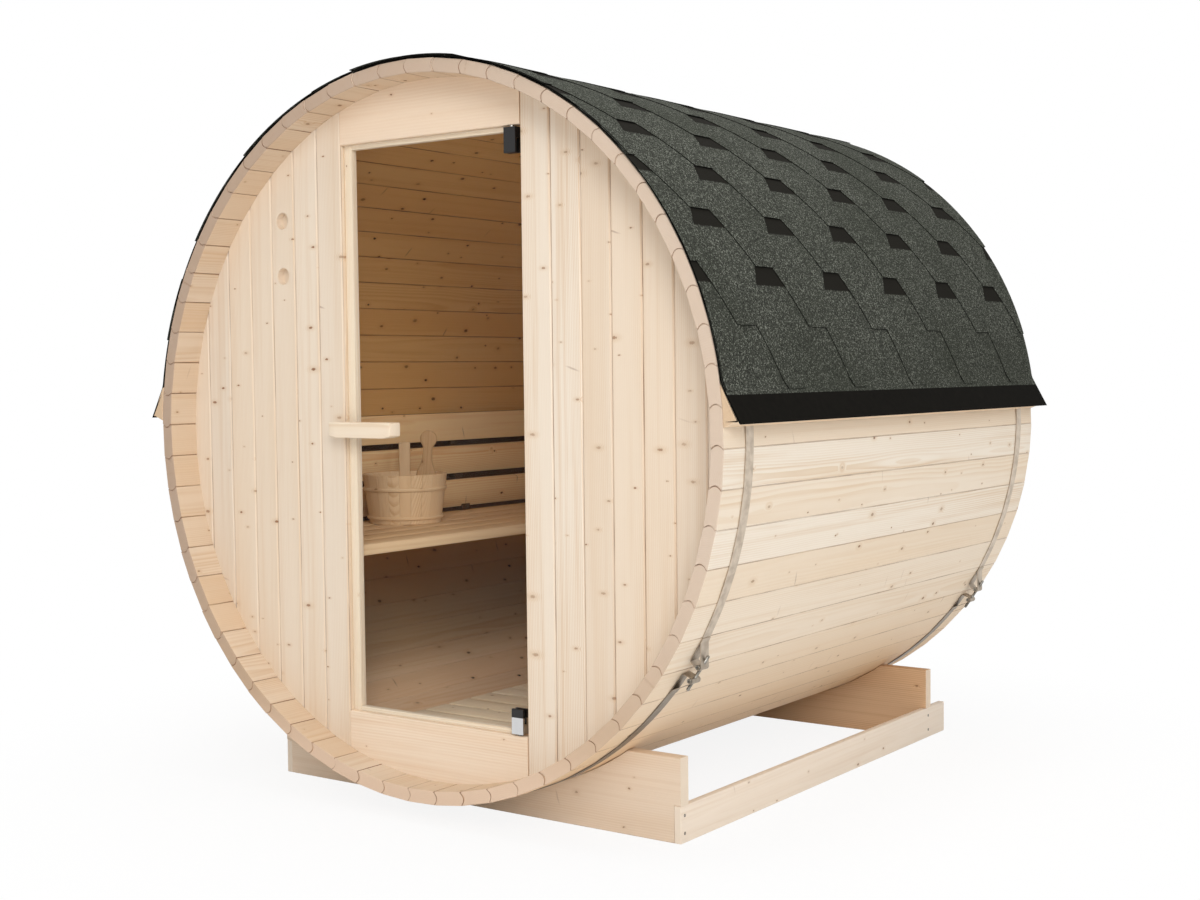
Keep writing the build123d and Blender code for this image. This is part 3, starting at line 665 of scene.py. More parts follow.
stave_runs = (
    "staves_right", "staves_upper_right", "staves_top", "staves_upper_left",
    "staves_left", "staves_lower_left", "staves_bottom", "staves_lower_right",
)
run_length = stave_count // len(stave_runs)
for run, node in enumerate(stave_runs):
    bundle = Shape()
    for number in range(run_length):
        stave(bundle, first_stave + pitch * (run * run_length + number))
    bundle.piece(node.replace("staves", "stave_run"), stave_wood, "stave", [node])

# End walls of upright boards with a V groove along each joint
groove_half, groove_deep, groove_foot = 0.0044, 0.0044, 0.0013
board_points = 9
board_play, circle_play, circle_edge = 0.0002, 0.0004, 0.0006
board_ease, door_board_ease = 0.001, 0.0015
joint_seam = 0.4


def board_run(left, right):
    """Places along X across one board, and how far each lies back in a groove.

    There are enough between the grooved edges to follow the circle.
    """
    inside = np.linspace(left + groove_half, right - groove_half, board_points)
    partway = groove_deep * (1 - groove_foot / groove_half)
    run = np.concatenate([[left, left + groove_foot], inside, [right - groove_foot, right]])
    return run, np.concatenate([[groove_deep, partway], np.zeros(board_points), [partway, groove_deep]])


def wall_board(shape, left, right, front, back, **more):
    """A board of an end wall, its top and bottom on the wall's circle."""
    run, inset = board_run(left + board_play, right - board_play)
    rise = circle_rise(run, wall_radius - circle_play)
    low, high = axis_z - rise, axis_z + rise
    upright(shape, run, inset, front, back, low, high, board_ease, True, seamed=joint_seam, **more)


vent_x, vent_radius, vent_depth = -0.530, 0.0225, 0.022
vent_heights = axis_z + np.array([0.424, 0.574])
vent_half, vent_ease = 0.034, 0.001
vent_points = 9
vent_rings = ((vent_radius + vent_ease, 0.0), (vent_radius, vent_ease), (vent_radius, vent_depth))


def vent_holes(points, local, index, keep):
    """Cuts the two round pockets: the square of grid points round each is joined to a circle, then sunk.

    A circle point lies in the direction of its square point from the middle.
    """
    strips, floors = [], []
    columns = np.arange(2, 2 + board_points)
    for number, height in enumerate(vent_heights):
        levels = np.arange(vent_points) + 1 + number * vent_points
        keep[columns[0]:columns[-1], levels[0]:levels[-1]] = False
        loop = np.concatenate([
            index[columns[0], levels], index[columns[1:], levels[-1]],
            index[columns[-1], levels[-2::-1]], index[columns[-2:0:-1], levels[0]],
        ])
        square = points[loop]
        face = square[0, 1]
        turn = np.arctan2(square[:, 2] - height, square[:, 0] - vent_x)
        rings = [loop]
        for radius, sunk in vent_rings:
            x = vent_x + radius * np.cos(turn)
            z = height + radius * np.sin(turn)
            rings.append(np.arange(len(turn)) + len(points))
            points = np.concatenate([points, np.stack([x, np.full(len(turn), face + sunk), z], -1)])
            local = np.concatenate([local, np.stack([z - axis_z, x, np.full(len(turn), sunk)], -1)])
        for outer, inner in zip(rings, rings[1:]):
            strips.append(np.stack([outer, inner, np.roll(inner, -1), np.roll(outer, -1)], -1))
        floors.append(rings[-1][::-1])
    return points, local, np.concatenate(strips)[:, ::-1], floors, keep


left_joints = (door_left, -0.3956, -0.4846, -0.5727, -0.6573, -0.7498, -0.838, circle_edge - wall_radius)
right_joints = (door_right, 0.3936, 0.4831, 0.5707, 0.6603, 0.7478, 0.836, wall_radius - circle_edge)
vent_offsets = np.linspace(-vent_half, vent_half, vent_points)
vented = {"levels": (vent_heights[:, None] + vent_offsets).ravel(), "hole": vent_holes}


def boarded(node, name, joints, front, back):
    """A wall of boards from joint to joint, with the vents in the front board that they fall on."""
    made = Shape()
    for pair in zip(joints, joints[1:]):
        left, right = sorted(pair)
        vents = vented if front < 0 and left < vent_x < right else {}
        wall_board(made, left, right, front, back, **vents)
    made.piece(name, wall_wood, "wall_board", [node])


boarded("front_wall_left", "front_boards_left", left_joints, -wall_outer, -wall_inner)
boarded("front_wall_right", "front_boards_right", right_joints, -wall_outer, -wall_inner)

door_points, door_inset = 25, 0.0008
door_run = np.linspace(door_left + board_play, door_right - board_play, door_points)
arch = circle_rise(door_run, wall_radius - circle_play)
edge_inset = np.where(np.isin(door_run, door_run[[0, -1]]), door_inset, 0.0)
door_boards = (
    ("door_lintel", doorway_top, axis_z + arch),
    ("door_sill", axis_z - arch, doorway_bottom),
)
for node, low, high in door_boards:
    board = Shape()
    upright(board, door_run, edge_inset, -wall_outer, -wall_inner, low, high, door_board_ease, False)
    board.piece(node + "_board", door_board_wood, "wall_board", [node])

back_count, back_width = 20, 0.0895
back_joints = (np.arange(back_count) - (back_count - 1) / 2) * back_width
back_joints = np.concatenate([[circle_edge - wall_radius], back_joints, [wall_radius - circle_edge]])
boarded("back_wall", "back_boards", back_joints, wall_inner, wall_outer)

# Strips that the door closes towards
stop_front, stop_rear = -0.792, -wall_inner
jamb_edge, stop_left, stop_right = -0.280, -0.2795, 0.244
stop_tall, stop_ease = 0.013, 0.0015
stops = Shape()
for low_x, high_x, low_z, high_z, along in (
    (door_left, jamb_edge, doorway_bottom, doorway_top, 2),
    (stop_left, stop_right, doorway_top - stop_tall, doorway_top, 0),
    (stop_left, stop_right, doorway_bottom, doorway_bottom + stop_tall, 0),
):
    plank(stops, (low_x, stop_front, low_z), (high_x, stop_rear, high_z), along, stop_ease)
stops.piece("door_stop_strips", lit_stop_wood, "wall_board", ["door_stops"])

# Door: the pane and its fittings keep their CAD shapes, the handle gets eased edges
top_low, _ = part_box("pivot_top")
foot_low, foot_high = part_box("pivot_bottom")
chrome_share = 0.66
dress("door_glass", glass_finish())
dress("pivot_top", pivot_finish("pivot_top_metal", top_low[2] - 1))
foot_split = foot_low[2] + (foot_high[2] - foot_low[2]) * chrome_share
dress("pivot_bottom", pivot_finish("pivot_foot_metal", foot_split))
dress("pivot_pins", pin_steel)
handle_low, handle_high = corners("door_handle")
handle = Shape()
bar_depth, bar_length, pad_share = 0.040, 0.222, 0.55
bar_rear = handle_low[1] + bar_depth
bar_ease, pad_ease = 0.002, 0.001
bar_run = np.array([0, 0.0008, 0.003, 0.026, 0.030])
bar_inset = np.array([0.0028, 0.0012, 0, 0, 0])
bar_foot = np.array([0.0076, 0.0062, 0.0046, 0.0002, 0.0])
bar_x = np.concatenate([handle_low[0] + bar_run, handle_high[0] - bar_run[::-1]])
bar_in = np.concatenate([bar_inset, bar_inset[::-1]])
bar_low = handle_low[2] + np.concatenate([bar_foot, bar_foot[::-1]])
bar_high = handle_high[2] - bar_in
upright(handle, bar_x, bar_in, handle_low[1], bar_rear, bar_low, bar_high, bar_ease, False, tone=0.2)
pad_x = handle_low[0] + bar_length * pad_share
pad_z = (handle_low[2] + handle_high[2]) / 2
pad_half = np.array([0.030, 0.015])
pad_low = (pad_x - pad_half[0], bar_rear, pad_z - pad_half[1])
pad_high = (pad_x + pad_half[0], handle_high[1], pad_z + pad_half[1])
plank(handle, pad_low, pad_high, 0, pad_ease)
handle.piece("door_handle_bar", handle_wood, "handle_wood", ["door_handle"], "door")

# Roof: felt, a starter strip over each eave, courses of six-sided tabs and caps along the crown
tab_pitch, notch_half, slant = 0.333, 0.0415, 0.083
course_turn, first_notch, course_count = 9.11, 74.2, 8
course_head, crown_gap = 2.0, 0.4
course_points, slant_points = 12, 7
even_phase, odd_phase = 0.153, 0.315
sheet, sheet_play = 0.0018, 0.0001
course_climb = sheet + 0.00015
felt_radius, felt_thickness = 0.9382, 0.0012
felt_points = 121
course_radius = felt_radius + felt_thickness + sheet_play
wedge_corner = np.array([0.976, 0.0404])
wedge_tip_turn, wedge_tip_radius = math.radians(82.5), 0.93843
wedge_tip = wedge_tip_radius * np.array([math.sin(wedge_tip_turn), math.cos(wedge_tip_turn)])
ramp_gap, ramp_round = 0.0004, 0.0012
drip_turn = 87.75
roof_overhang, cap_overhang = 0.001, 0.002
roof_ends = np.array([-half_length - roof_overhang, half_length + roof_overhang])
end_wander, end_margin = (-0.004, 0.003), 0.002
left_setback, setback_turn = 0.006, 12


def ground(turn):
    """Radius of the roof's underside: the barrel's circle, or the wedge's slope where that lies further out.

    The slope's radius is its distance from the axis over the cosine between its normal and the ray. The two
    are joined by half the sum of both and of the root of their squared difference plus a small square.
    """
    slope = wedge_corner - wedge_tip
    normal = np.array([-slope[1], slope[0]]) / np.hypot(*slope)
    facing = math.atan2(*normal)
    ramp = (normal @ wedge_tip + ramp_gap) / np.cos(np.maximum(np.radians(np.abs(turn)) - facing, 0))
    return (felt_radius + ramp + np.sqrt((felt_radius - ramp) ** 2 + ramp_round**2)) / 2


def roof_rows(turn, lift, along):
    """Points on the roof from their turn from the crown in degrees, lift off the underside and place."""
    radius = ground(turn) + lift
    bend = np.radians(turn)
    turn, along = np.broadcast_arrays(turn, along)
    return np.stack([radius * np.sin(bend), along, axis_z + radius * np.cos(bend)], -1)


def there_and_back(values, returning=None):
    """The upper side's values, then the lower side's from the far end."""
    returning = values if returning is None else returning
    return np.concatenate([values, returning[..., ::-1]], -1)


class Sheets(Shape):
    """Roof sheets, whose coordinates are left as given: the place of the dark band and the bare part."""

    def add(self, rows, local):
        """The sheet's two edges across its run, where over and under meet, are marked as cut."""
        seam = np.zeros((len(rows) - 1, rows.shape[1]))
        seam[:, [rows.shape[1] // 2 - 1, -1]] = 1
        super().add(rows, local, 0.5, seam)
        self.grain[-1] = local.reshape(-1, 3)

    def cover(self, name):
        """A piece of the roof."""
        self.piece(name, shingle, "shingle", ["roof_cover"], crease=40)


felt = Sheets()
felt_ring = there_and_back(np.linspace(-drip_turn, drip_turn, felt_points))
felt_lift = there_and_back(np.full(felt_points, felt_thickness), np.zeros(felt_points))
felt_front = roof_ends[0] + left_setback * np.clip(-felt_ring / setback_turn, 0, 1)
felt_along = np.stack([felt_front, np.full(len(felt_ring), roof_ends[1])])
felt_rows = roof_rows(np.tile(felt_ring, (2, 1)), felt_lift, felt_along)
felt.add(felt_rows, np.broadcast_to([1.0, 0.0, 1.0], felt_rows.shape))
felt.cover("roof_felt")


def lap(turn, upper):
    """A course's lift off the felt: it starts on it and climbs a sheet for each course that it covers."""
    return felt_thickness + sheet_play + (turn - upper) / course_turn * course_climb


def course(shape, number, side):
    """One course of tabs: its lower edge is a wave of straight slants between notch tops and tab feet."""
    notch = first_notch - course_turn * number
    start = notch - course_turn - course_head
    phase = (odd_phase if number % 2 else even_phase) - half_length
    if side < 0:
        phase += tab_pitch / 2
    centres = phase + tab_pitch * np.arange(-2, 8)
    slope = np.linspace(notch_half, notch_half + slant, slant_points)
    corners_along = np.concatenate([[-notch_half, notch_half], slope, -slope])
    ends = roof_ends + dice.uniform(*end_wander, 2)
    ends[0] += left_setback * (side < 0)
    along = np.unique(np.round((centres[:, None] + corners_along).ravel(), 5))
    along = along[(along > ends[0] + end_margin) & (along < ends[1] - end_margin)]
    along = np.concatenate([[ends[0]], along, [ends[1]]])[:, None]
    off = np.abs((along - phase + tab_pitch / 2) % tab_pitch - tab_pitch / 2)
    foot = notch + course_turn * np.clip((off - notch_half) / slant, 0, 1)
    upper = max(start, crown_gap)
    turn = upper + (foot - upper) * np.linspace(0, 1, course_points)
    ring_turn = there_and_back(turn)
    rows = roof_rows(ring_turn * side, there_and_back(lap(turn, start) + sheet, lap(turn, start)), along)
    down = np.radians(ring_turn - (notch - course_turn)) * course_radius
    shape.add(rows, np.stack([down, along + 0 * down, 0 * down], -1))


strip_turn = np.concatenate([np.linspace(72.4, 79, 5), np.linspace(80, drip_turn + 0.1, 16)])
strip_level, strip_bare = 82.5, 83.75
strip_reach = 1.001


def eave_strip(shape, side):
    """The starter strip: it fills the room under the lowest course and runs on evenly to the drip."""
    start = first_notch - course_turn - course_head
    over = lap(np.minimum(strip_turn, strip_level), start) - sheet_play
    under = np.full(len(strip_turn), felt_thickness + sheet_play)
    ring_turn = there_and_back(strip_turn)
    ends = (roof_ends * strip_reach + [left_setback * (side < 0), 0])[:, None]
    rows = roof_rows(np.tile(ring_turn, (2, 1)) * side, there_and_back(over, under), ends)
    bare = (ring_turn > strip_bare).astype(float)
    marks = np.stack([np.ones(len(bare)), np.zeros(len(bare)), bare], -1)
    shape.add(rows, np.broadcast_to(marks, rows.shape))


for side, word in ((1, "right"), (-1, "left")):
    for number in range(course_count):
        tabs = Sheets()
        course(tabs, number, side)
        tabs.cover(f"shingle_course_{word}_{number + 1}")
    starter = Sheets()
    eave_strip(starter, side)
    starter.cover(f"eave_strip_{word}")

caps = Sheets()
cap_count, cap_length, cap_step = 12, 0.30, 0.152
cap_lap, cap_lift, cap_climb = 0.6, 0.0003, 0.0004
cap_half, cap_points = 10.6, 17
cap_turn = np.linspace(-cap_half, cap_half, cap_points)
cap_ring = np.tile(there_and_back(cap_turn), (2, 1))
crest = lap(np.abs(cap_turn), -cap_lap) + sheet + cap_lift
for number in range(cap_count):
    front = -half_length - cap_overhang + number * cap_step
    rear = min(front + cap_length, roof_ends[1])
    climb = np.array([sheet + cap_climb if number else sheet_play, sheet_play])[:, None]
    lift = there_and_back(crest + sheet + climb, crest + climb)
    rows = roof_rows(cap_ring, lift, np.array([front, rear])[:, None])
    caps.add(rows, np.broadcast_to([1.0, 0.0, 0.0], rows.shape))
caps.cover("crown_caps")

# Wedge battens under the eaves
hoop_depth, hoop_half = 0.79, 0.0175
slot_step, slot_deep, wedge_play = 0.0002, 0.0018, 0.0002
wedge_foot_turn = math.radians(88.2)
wedge_heel, wedge_inset, wedge_shoulder = 0.004, 0.0006, 0.002
wedge_middle, wedge_drawn = np.array([0.953, 0.062]), 0.97
arc_points, heel_points = 9, 4


def wedge(node, side):
    """A three-cornered batten: an arc on the staves from foot to tip, a slope, a round heel and an underside.

    It is drawn along the barrel, and where a hoop passes, the arc's radius grows to clear the strap.
    """
    edges = hoop_depth + np.array([-hoop_half - slot_step, -hoop_half, hoop_half, hoop_half + slot_step])
    front = [-half_length, wedge_shoulder - half_length]
    places = np.concatenate([front, -edges[::-1], edges, np.negative(front)[::-1]])
    slotted = np.array([0, 0, 0, 1, 1, 0, 0, 1, 1, 0, 0, 0])[:, None]
    radius = seat_radius + (slotted * slot_deep + wedge_play)
    turn = np.linspace(wedge_foot_turn, wedge_tip_turn, arc_points)
    arc = radius[..., None] * np.stack([np.sin(turn), np.cos(turn)], -1)
    corner = wedge_corner - [wedge_inset, -wedge_inset]
    bend = np.radians(np.linspace(0, 90, heel_points))
    heel = corner + wedge_heel * np.stack([np.cos(bend) - 1, 1 - np.sin(bend)], -1)[::-1]
    ridge = np.concatenate([wedge_tip[None], heel])
    outline = np.concatenate([arc, np.broadcast_to(ridge, (len(places), *ridge.shape))], 1)
    outline[[0, -1]] = wedge_middle + (outline[[0, -1]] - wedge_middle) * wedge_drawn
    along = np.broadcast_to(places[:, None], outline.shape[:2])
    rows = np.stack([side * outline[..., 0], along, axis_z + outline[..., 1]], -1)
    made = Shape()
    made.add(rows, np.stack([along, outline[..., 1], outline[..., 0] - barrel_radius], -1), 0.6)
    made.piece(node + "_batten", wedge_wood, "cradle_plank", [node])


wedge("eave_wedge_right", 1)
wedge("eave_wedge_left", -1)

# Cradles and rails
front_low, front_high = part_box("cradle_front")
rear_low, rear_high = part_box("cradle_rear")
cradle_half, end_height = front_high[0], front_high[2]
cradle_ease, rail_ease = 0.002, 0.0022
rail_thick, rail_tall = 0.020, 0.092
cradle_start, cradle_points, notch_step, notch_margin = 0.02, 22, 0.0003, 0.0001
shoulder_x = math.sqrt(seat_radius**2 - (axis_z - end_height) ** 2)


def cradle(node, low, high, finish):
    """The top follows the barrel's circle up to level shoulders, and each lower corner is cut for a rail."""
    notch = cradle_half - rail_thick
    hollow = np.linspace(cradle_start, shoulder_x, cradle_points)
    half_run = np.concatenate([hollow, [notch - notch_step, notch, cradle_half]])
    run = np.concatenate([-half_run[::-1], half_run])
    top = np.minimum(axis_z - circle_rise(run, seat_radius), end_height)
    foot = np.where(np.abs(run) >= notch - notch_margin, rail_tall, 0.0)
    made = Shape()
    upright(made, run, 0.0, low[1], high[1], foot, top, cradle_ease, False)
    made.piece(node + "_plank", finish, "cradle_plank", [node])


cradle("cradle_front", front_low, front_high, cradle_wood)
cradle("cradle_rear", rear_low, rear_high, shaded_rear_wood)
for node in ("rail_right", "rail_left"):
    rail = Shape()
    plank(rail, *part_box(node), 1, rail_ease)
    rail.piece(node + "_board", rail_wood, "cradle_plank", [node])


def lathe(shape, centre, axis, side, profile, around=20):
    """A profile of radius and place along an axis, turned once round it."""
    axis, side = np.array(axis, float), np.array(side, float)
    third = np.cross(axis, side)
    turn = np.linspace(0, 2 * math.pi, around, endpoint=False)
    ring = np.cos(turn)[:, None] * side + np.sin(turn)[:, None] * third
    radius, place = np.array(profile, float).T
    rows = np.array(centre) + place[:, None, None] * axis + radius[:, None, None] * ring
    shape.add(rows, rows)


screw_profile = ((0.0042, -0.003), (0.0042, 0.0001), (0.0036, 0.0006), (0.0017, 0.0007), (0.0015, -0.0008))
screw_heights = (0.024, 0.068)
screws = Shape()
for side in (1, -1):
    for depth in ((front_low[1] + front_high[1]) / 2, (rear_low[1] + rear_high[1]) / 2):
        for height in screw_heights:
            lathe(screws, (side * cradle_half, depth, height), (side, 0, 0), (0, 1, 0), screw_profile, 14)
screws.piece("rail_screws", pin_steel, "pin_steel")

# Hoops: a flat strap carried round the barrel, with each end folded back over a cross pin
tension_turn = math.radians(124.4)
outward = np.array([math.sin(tension_turn), math.cos(tension_turn)])
downward = np.array([math.cos(tension_turn), -math.sin(tension_turn)])
strap_thick, strap_wide = 0.0015, 0.034
pin_place, pin_rise, pin_radius = 0.0205, 0.026, 0.006
nose_place, fold_foot = 0.0190, 0.070
nose_start = nose_place + 0.010
wrap = pin_radius + 0.0003 + strap_thick / 2
strap_radius = seat_radius + strap_thick / 2


def sag(place):
    """How far the round strap lies above the tangent at the tensioner, at places along it."""
    return np.sqrt(strap_radius**2 - place**2) - seat_radius


def fold():
    """Half of the strap's line at the tensioner: up the nose, round the pin and back to the strap."""
    nose = nose_place + np.array([0.004, 0.0008, -0.0006])
    base = np.stack([nose, sag(nose_place) + np.array([0, 0.001, 0.004])], -1)
    turn = np.radians(np.linspace(190, 62, 12))
    over = np.stack([pin_place + wrap * np.cos(turn), pin_rise + wrap * np.sin(turn)], -1)
    feet = fold_foot + np.array([0, 0.006, 0.014])
    tail = np.stack([feet, sag(feet) + np.array([0.0022, 0.0017, 0.0017])], -1)
    return np.concatenate([base, over, tail])


half_fold = fold()
start_turn = math.asin(nose_start / strap_radius)
round_turn = np.linspace(start_turn, 2 * math.pi - start_turn, 181)
round_line = strap_radius * np.stack([np.sin(round_turn), np.cos(round_turn)], -1) - [0, seat_radius]
strap_line = np.concatenate([half_fold[::-1], round_line, half_fold * [-1, 1]])


def strap(shape, depth):
    """A thin rectangle set square to the line at each of its points."""
    heading = np.gradient(strap_line, axis=0)
    heading /= np.linalg.norm(heading, axis=1)[:, None]
    normal = np.stack([-heading[:, 1], heading[:, 0]], -1)
    across = np.array([-1, -1, 1, 1]) * strap_wide / 2
    thick = np.array([-1, 1, 1, -1]) * strap_thick / 2
    flat = strap_line[:, None] + normal[:, None] * thick[:, None]
    spot = seat_radius * outward + flat[..., :1] * downward + flat[..., 1:] * outward
    along = np.broadcast_to(depth + across, spot.shape[:2])
    rows = np.stack([spot[..., 0], along, axis_z + spot[..., 1]], -1)
    shape.add(rows, rows)


def flank_point(place, rise, depth):
    """A point on the flank from its place down the tangent at the tensioner and its rise off the seat."""
    spot = (seat_radius + rise) * outward + place * downward
    return np.array([spot[0], depth, axis_z + spot[1]])


pin_half = 0.021
pin_end = (
    (0.0030, pin_half - 0.005), (0.0032, pin_half - 0.0004), (0.0040, pin_half), (0.0054, pin_half),
    (0.0060, pin_half - 0.0007),
)
pin_profile = [(radius, -place) for radius, place in pin_end] + list(pin_end[::-1])
rod_half, rod_end = 0.052, 0.0030
thread = np.arange(-rod_half + 0.001, rod_half - 0.001, 0.00075)
thread_radius = 0.0037 + 0.0003 * (-1.0) ** np.arange(len(thread))
rod_profile = [(rod_end, -rod_half), *zip(thread_radius, thread), (rod_end, rod_half)]
down_axis = (downward[0], 0, downward[1])
for word, depth in (("front", -hoop_depth), ("rear", hoop_depth)):
    band = Shape()
    strap(band, depth)
    band.piece(f"hoop_strap_{word}", strap_steel, "hoop_steel", [f"hoop_{word}"], crease=45)
    pins = Shape()
    for place in (-pin_place, pin_place):
        lathe(pins, flank_point(place, pin_rise, depth), (0, 1, 0), (1, 0, 0), pin_profile)
    lathe(pins, flank_point(0, pin_rise, depth), down_axis, (0, 1, 0), rod_profile, 12)
    pins.piece(f"tension_pins_{word}", pin_steel, "pin_steel", [f"tensioner_{word}"])

# Bench, backrest and floor
seat_count, seat_gap, seat_ease = 5, 0.010, 0.004
floor_count, floor_gap, floor_ease = 16, 0.0085, 0.0025
beam_ease = 0.002


def slats(node, name, across, along, count, gap, ease, finish):
    """A CAD node's box divided into equal boards with gaps between them."""
    low, high = corners(node)
    step = (high[across] - low[across] + gap) / count
    made = Shape()
    for number in range(count):
        board_low, board_high = low.copy(), high.copy()
        board_low[across] = low[across] + step * number
        board_high[across] = board_low[across] + step - gap
        plank(made, board_low, board_high, along, ease)
    made.piece(name, finish, "bench_wood", [node])


slats("bench_seat", "bench_slats", 0, 1, seat_count, seat_gap, seat_ease, bench_wood)
seat_low, seat_high = corners("bench_seat")
bench_z = seat_high[2]
cleat_low, cleat_high = corners("bench_cleats")
cleat_wide, cleat_edge = 0.040, 0.001
cleats = Shape()
for front in (cleat_low[1], cleat_high[1] - cleat_wide):
    wall_top = -circle_rise(cleat_high[2] - axis_z, lining_radius)
    wall_foot = -circle_rise(cleat_low[2] - axis_z, lining_radius)
    run = np.concatenate([np.linspace(wall_top, wall_foot, 6), [cleat_high[0]]])
    foot = np.where(run < wall_foot, axis_z - circle_rise(run, lining_radius), cleat_low[2])
    foot = np.minimum(foot, cleat_high[2] - cleat_edge)
    upright(cleats, run, 0.0, front, front + cleat_wide, foot, cleat_high[2], beam_ease, False)
cleats.piece("bench_cleat_blocks", bench_wood, "bench_wood", ["bench_cleats"])

rest_count, rest_gap, rest_ease = 3, 0.019, 0.003
rest_half, rest_play, rest_foot = 0.011, 0.0003, 0.012
rest_top = axis_z + 0.0198
rest_pitch = (rest_top - bench_z - rest_foot + rest_gap) / rest_count
rest_wide = rest_pitch - rest_gap
batten_wide, batten_thick, batten_ease, batten_play = 0.045, 0.024, 0.002, 0.0002
batten_face = stave_inner - rest_play - batten_thick
rest_radius = math.sqrt((batten_face - rest_play) ** 2 - (rest_wide / 2) ** 2) - rest_half
backrest = Shape()
for number in range(rest_count):
    middle = rest_top - rest_wide / 2 - rest_pitch * number
    lean = math.asin((middle - axis_z) / rest_radius)
    x = -rest_radius * math.cos(lean)
    slat_low = (x - rest_half, seat_low[1], middle - rest_wide / 2)
    slat_high = (x + rest_half, seat_high[1], middle + rest_wide / 2)
    plank(backrest, slat_low, slat_high, 1, rest_ease, -lean)
backrest.piece("backrest_slats", backrest_wood, "bench_wood", ["backrest"])
batten_low, batten_high = corners("backrest_battens")
battens = Shape()
for front in (batten_low[1], batten_high[1] - batten_wide):
    rise = np.linspace(batten_low[2] + batten_play, batten_high[2], arc_points)[:, None]
    face = -circle_rise(rise - axis_z, batten_face)
    wall = -circle_rise(rise - axis_z, lining_radius)
    x = np.hstack([wall, face - batten_ease, face, face, face - batten_ease, wall])
    breadth = np.array([0, 0, batten_ease, batten_wide - batten_ease, batten_wide, batten_wide])
    y = np.broadcast_to(front + breadth, x.shape)
    rows = np.stack([x, y, np.broadcast_to(rise, x.shape)], -1)
    battens.add(rows, rows[..., [2, 1, 0]])
battens.piece("backrest_batten_strips", batten_shade_wood, "bench_wood", ["backrest_battens"])

slats("floor_slats", "floor_boards", 1, 0, floor_count, floor_gap, floor_ease, floor_wood)
bearer_low, bearer_high = corners("floor_bearers")
bearer_wide = 0.045
bearers = Shape()
for left in (bearer_low[0], bearer_high[0] - bearer_wide):
    run = np.linspace(left, left + bearer_wide, 5)
    foot = axis_z - circle_rise(run, lining_radius)
    upright(bearers, run, 0.0, bearer_low[1], bearer_high[1], foot, bearer_high[2], beam_ease, False)
bearers.piece("floor_bearer_beams", bench_wood, "bench_wood", ["floor_bearers"])

# Bucket of staves with two hoops, and the ladle in it
hoop_low, hoop_high = corners("bucket_hoops")
bucket_x, bucket_y, _ = (hoop_low + hoop_high) / 2
bucket_foot, bucket_rim, bucket_tall, bucket_wall = 0.110, 0.131, 0.152, 0.012
bucket_ease, bucket_joint, bucket_draw, grip_tall = 0.0015, 0.0004, 4, 0.092
bucket_floor = ((0.0982, 0.004), (0.1006, 0.022))
band_tall, band_play = 0.010, 0.0003
pail_count = 22
view_turn = math.radians(42.7)
grip_turn = math.atan2(math.cos(view_turn), -math.sin(view_turn))


def bucket_stave(shape, turn, half_turn, tall):
    """A slice of a cone's wall: two arcs a wall's thickness apart, their radius growing with height."""
    rise = np.array([0.0, bucket_ease, bucket_tall * 0.5, tall - bucket_ease, tall])[:, None]
    drawn = np.array([bucket_ease, 0, 0, 0, bucket_ease])[:, None]
    outer = bucket_foot + (bucket_rim - bucket_foot) * np.minimum(rise / bucket_tall, 1.0)
    swing = np.linspace(-1, 1, 5)
    sweep = half_turn - bucket_joint / bucket_rim
    angle = turn + np.concatenate([swing, swing[::-1]]) * (sweep - drawn * bucket_draw)
    inner = outer - bucket_wall
    radius = np.concatenate([np.repeat(outer - drawn, 5, 1), np.repeat(inner + drawn, 5, 1)], 1)
    rise = np.broadcast_to(rise, radius.shape)
    x, y = bucket_x + radius * np.cos(angle), bucket_y + radius * np.sin(angle)
    local = np.stack([rise, (angle - turn) * bucket_rim, radius - bucket_foot], -1)
    shape.add(np.stack([x, y, bench_z + rise], -1), local)


pail = Shape()
half_turn = math.pi / pail_count
for number in range(pail_count):
    tall = bucket_tall + (grip_tall if number == 0 else 0.0)
    bucket_stave(pail, grip_turn + 2 * half_turn * number, half_turn, tall)
lathe(pail, (bucket_x, bucket_y, bench_z), (0, 0, 1), (1, 0, 0), bucket_floor, 44)
pail.piece("bucket_staves", bucket_wood, "bucket_wood", ["bucket"])


def bucket_hoop(shape, low, high):
    """A ring with a softly rounded outer face, turned round the bucket's axis."""
    bore = bucket_foot + (bucket_rim - bucket_foot) * (high - bench_z) / bucket_tall + band_play
    turn = np.linspace(0, 2 * math.pi, 61)[:, None]
    section = np.array([(0, 0), (0.0026, 0), (0.0040, 0.25), (0.0040, 0.75), (0.0026, 1), (0, 1)])
    radius = bore + section[:, 0] + 0 * turn
    z = np.broadcast_to(low + (high - low) * section[:, 1], radius.shape)
    rows = np.stack([bucket_x + radius * np.cos(turn), bucket_y + radius * np.sin(turn), z], -1)
    shape.add(rows, np.stack([turn * bore + 0 * radius, z, radius], -1))


pail_hoops = Shape()
bucket_hoop(pail_hoops, hoop_low[2], hoop_low[2] + band_tall)
bucket_hoop(pail_hoops, hoop_high[2] - band_tall, hoop_high[2])
pail_hoops.piece("bucket_hoop_bands", bucket_wood, "bucket_wood", ["bucket_hoops"])

ladle_lean = math.radians(4.9)
ladle_side, ladle_foot = 0.055, 0.0251
foot_half, neck_half, end_radius = 0.031, 0.0155, 0.0265
shoulder, neck, end = 0.114, 0.176, 0.2335
join_turn, close_turn = math.radians(-38), math.radians(86)
ladle_thick, thin_half, thin_power, oval_power = 0.006, 0.012, 0.6, 0.7


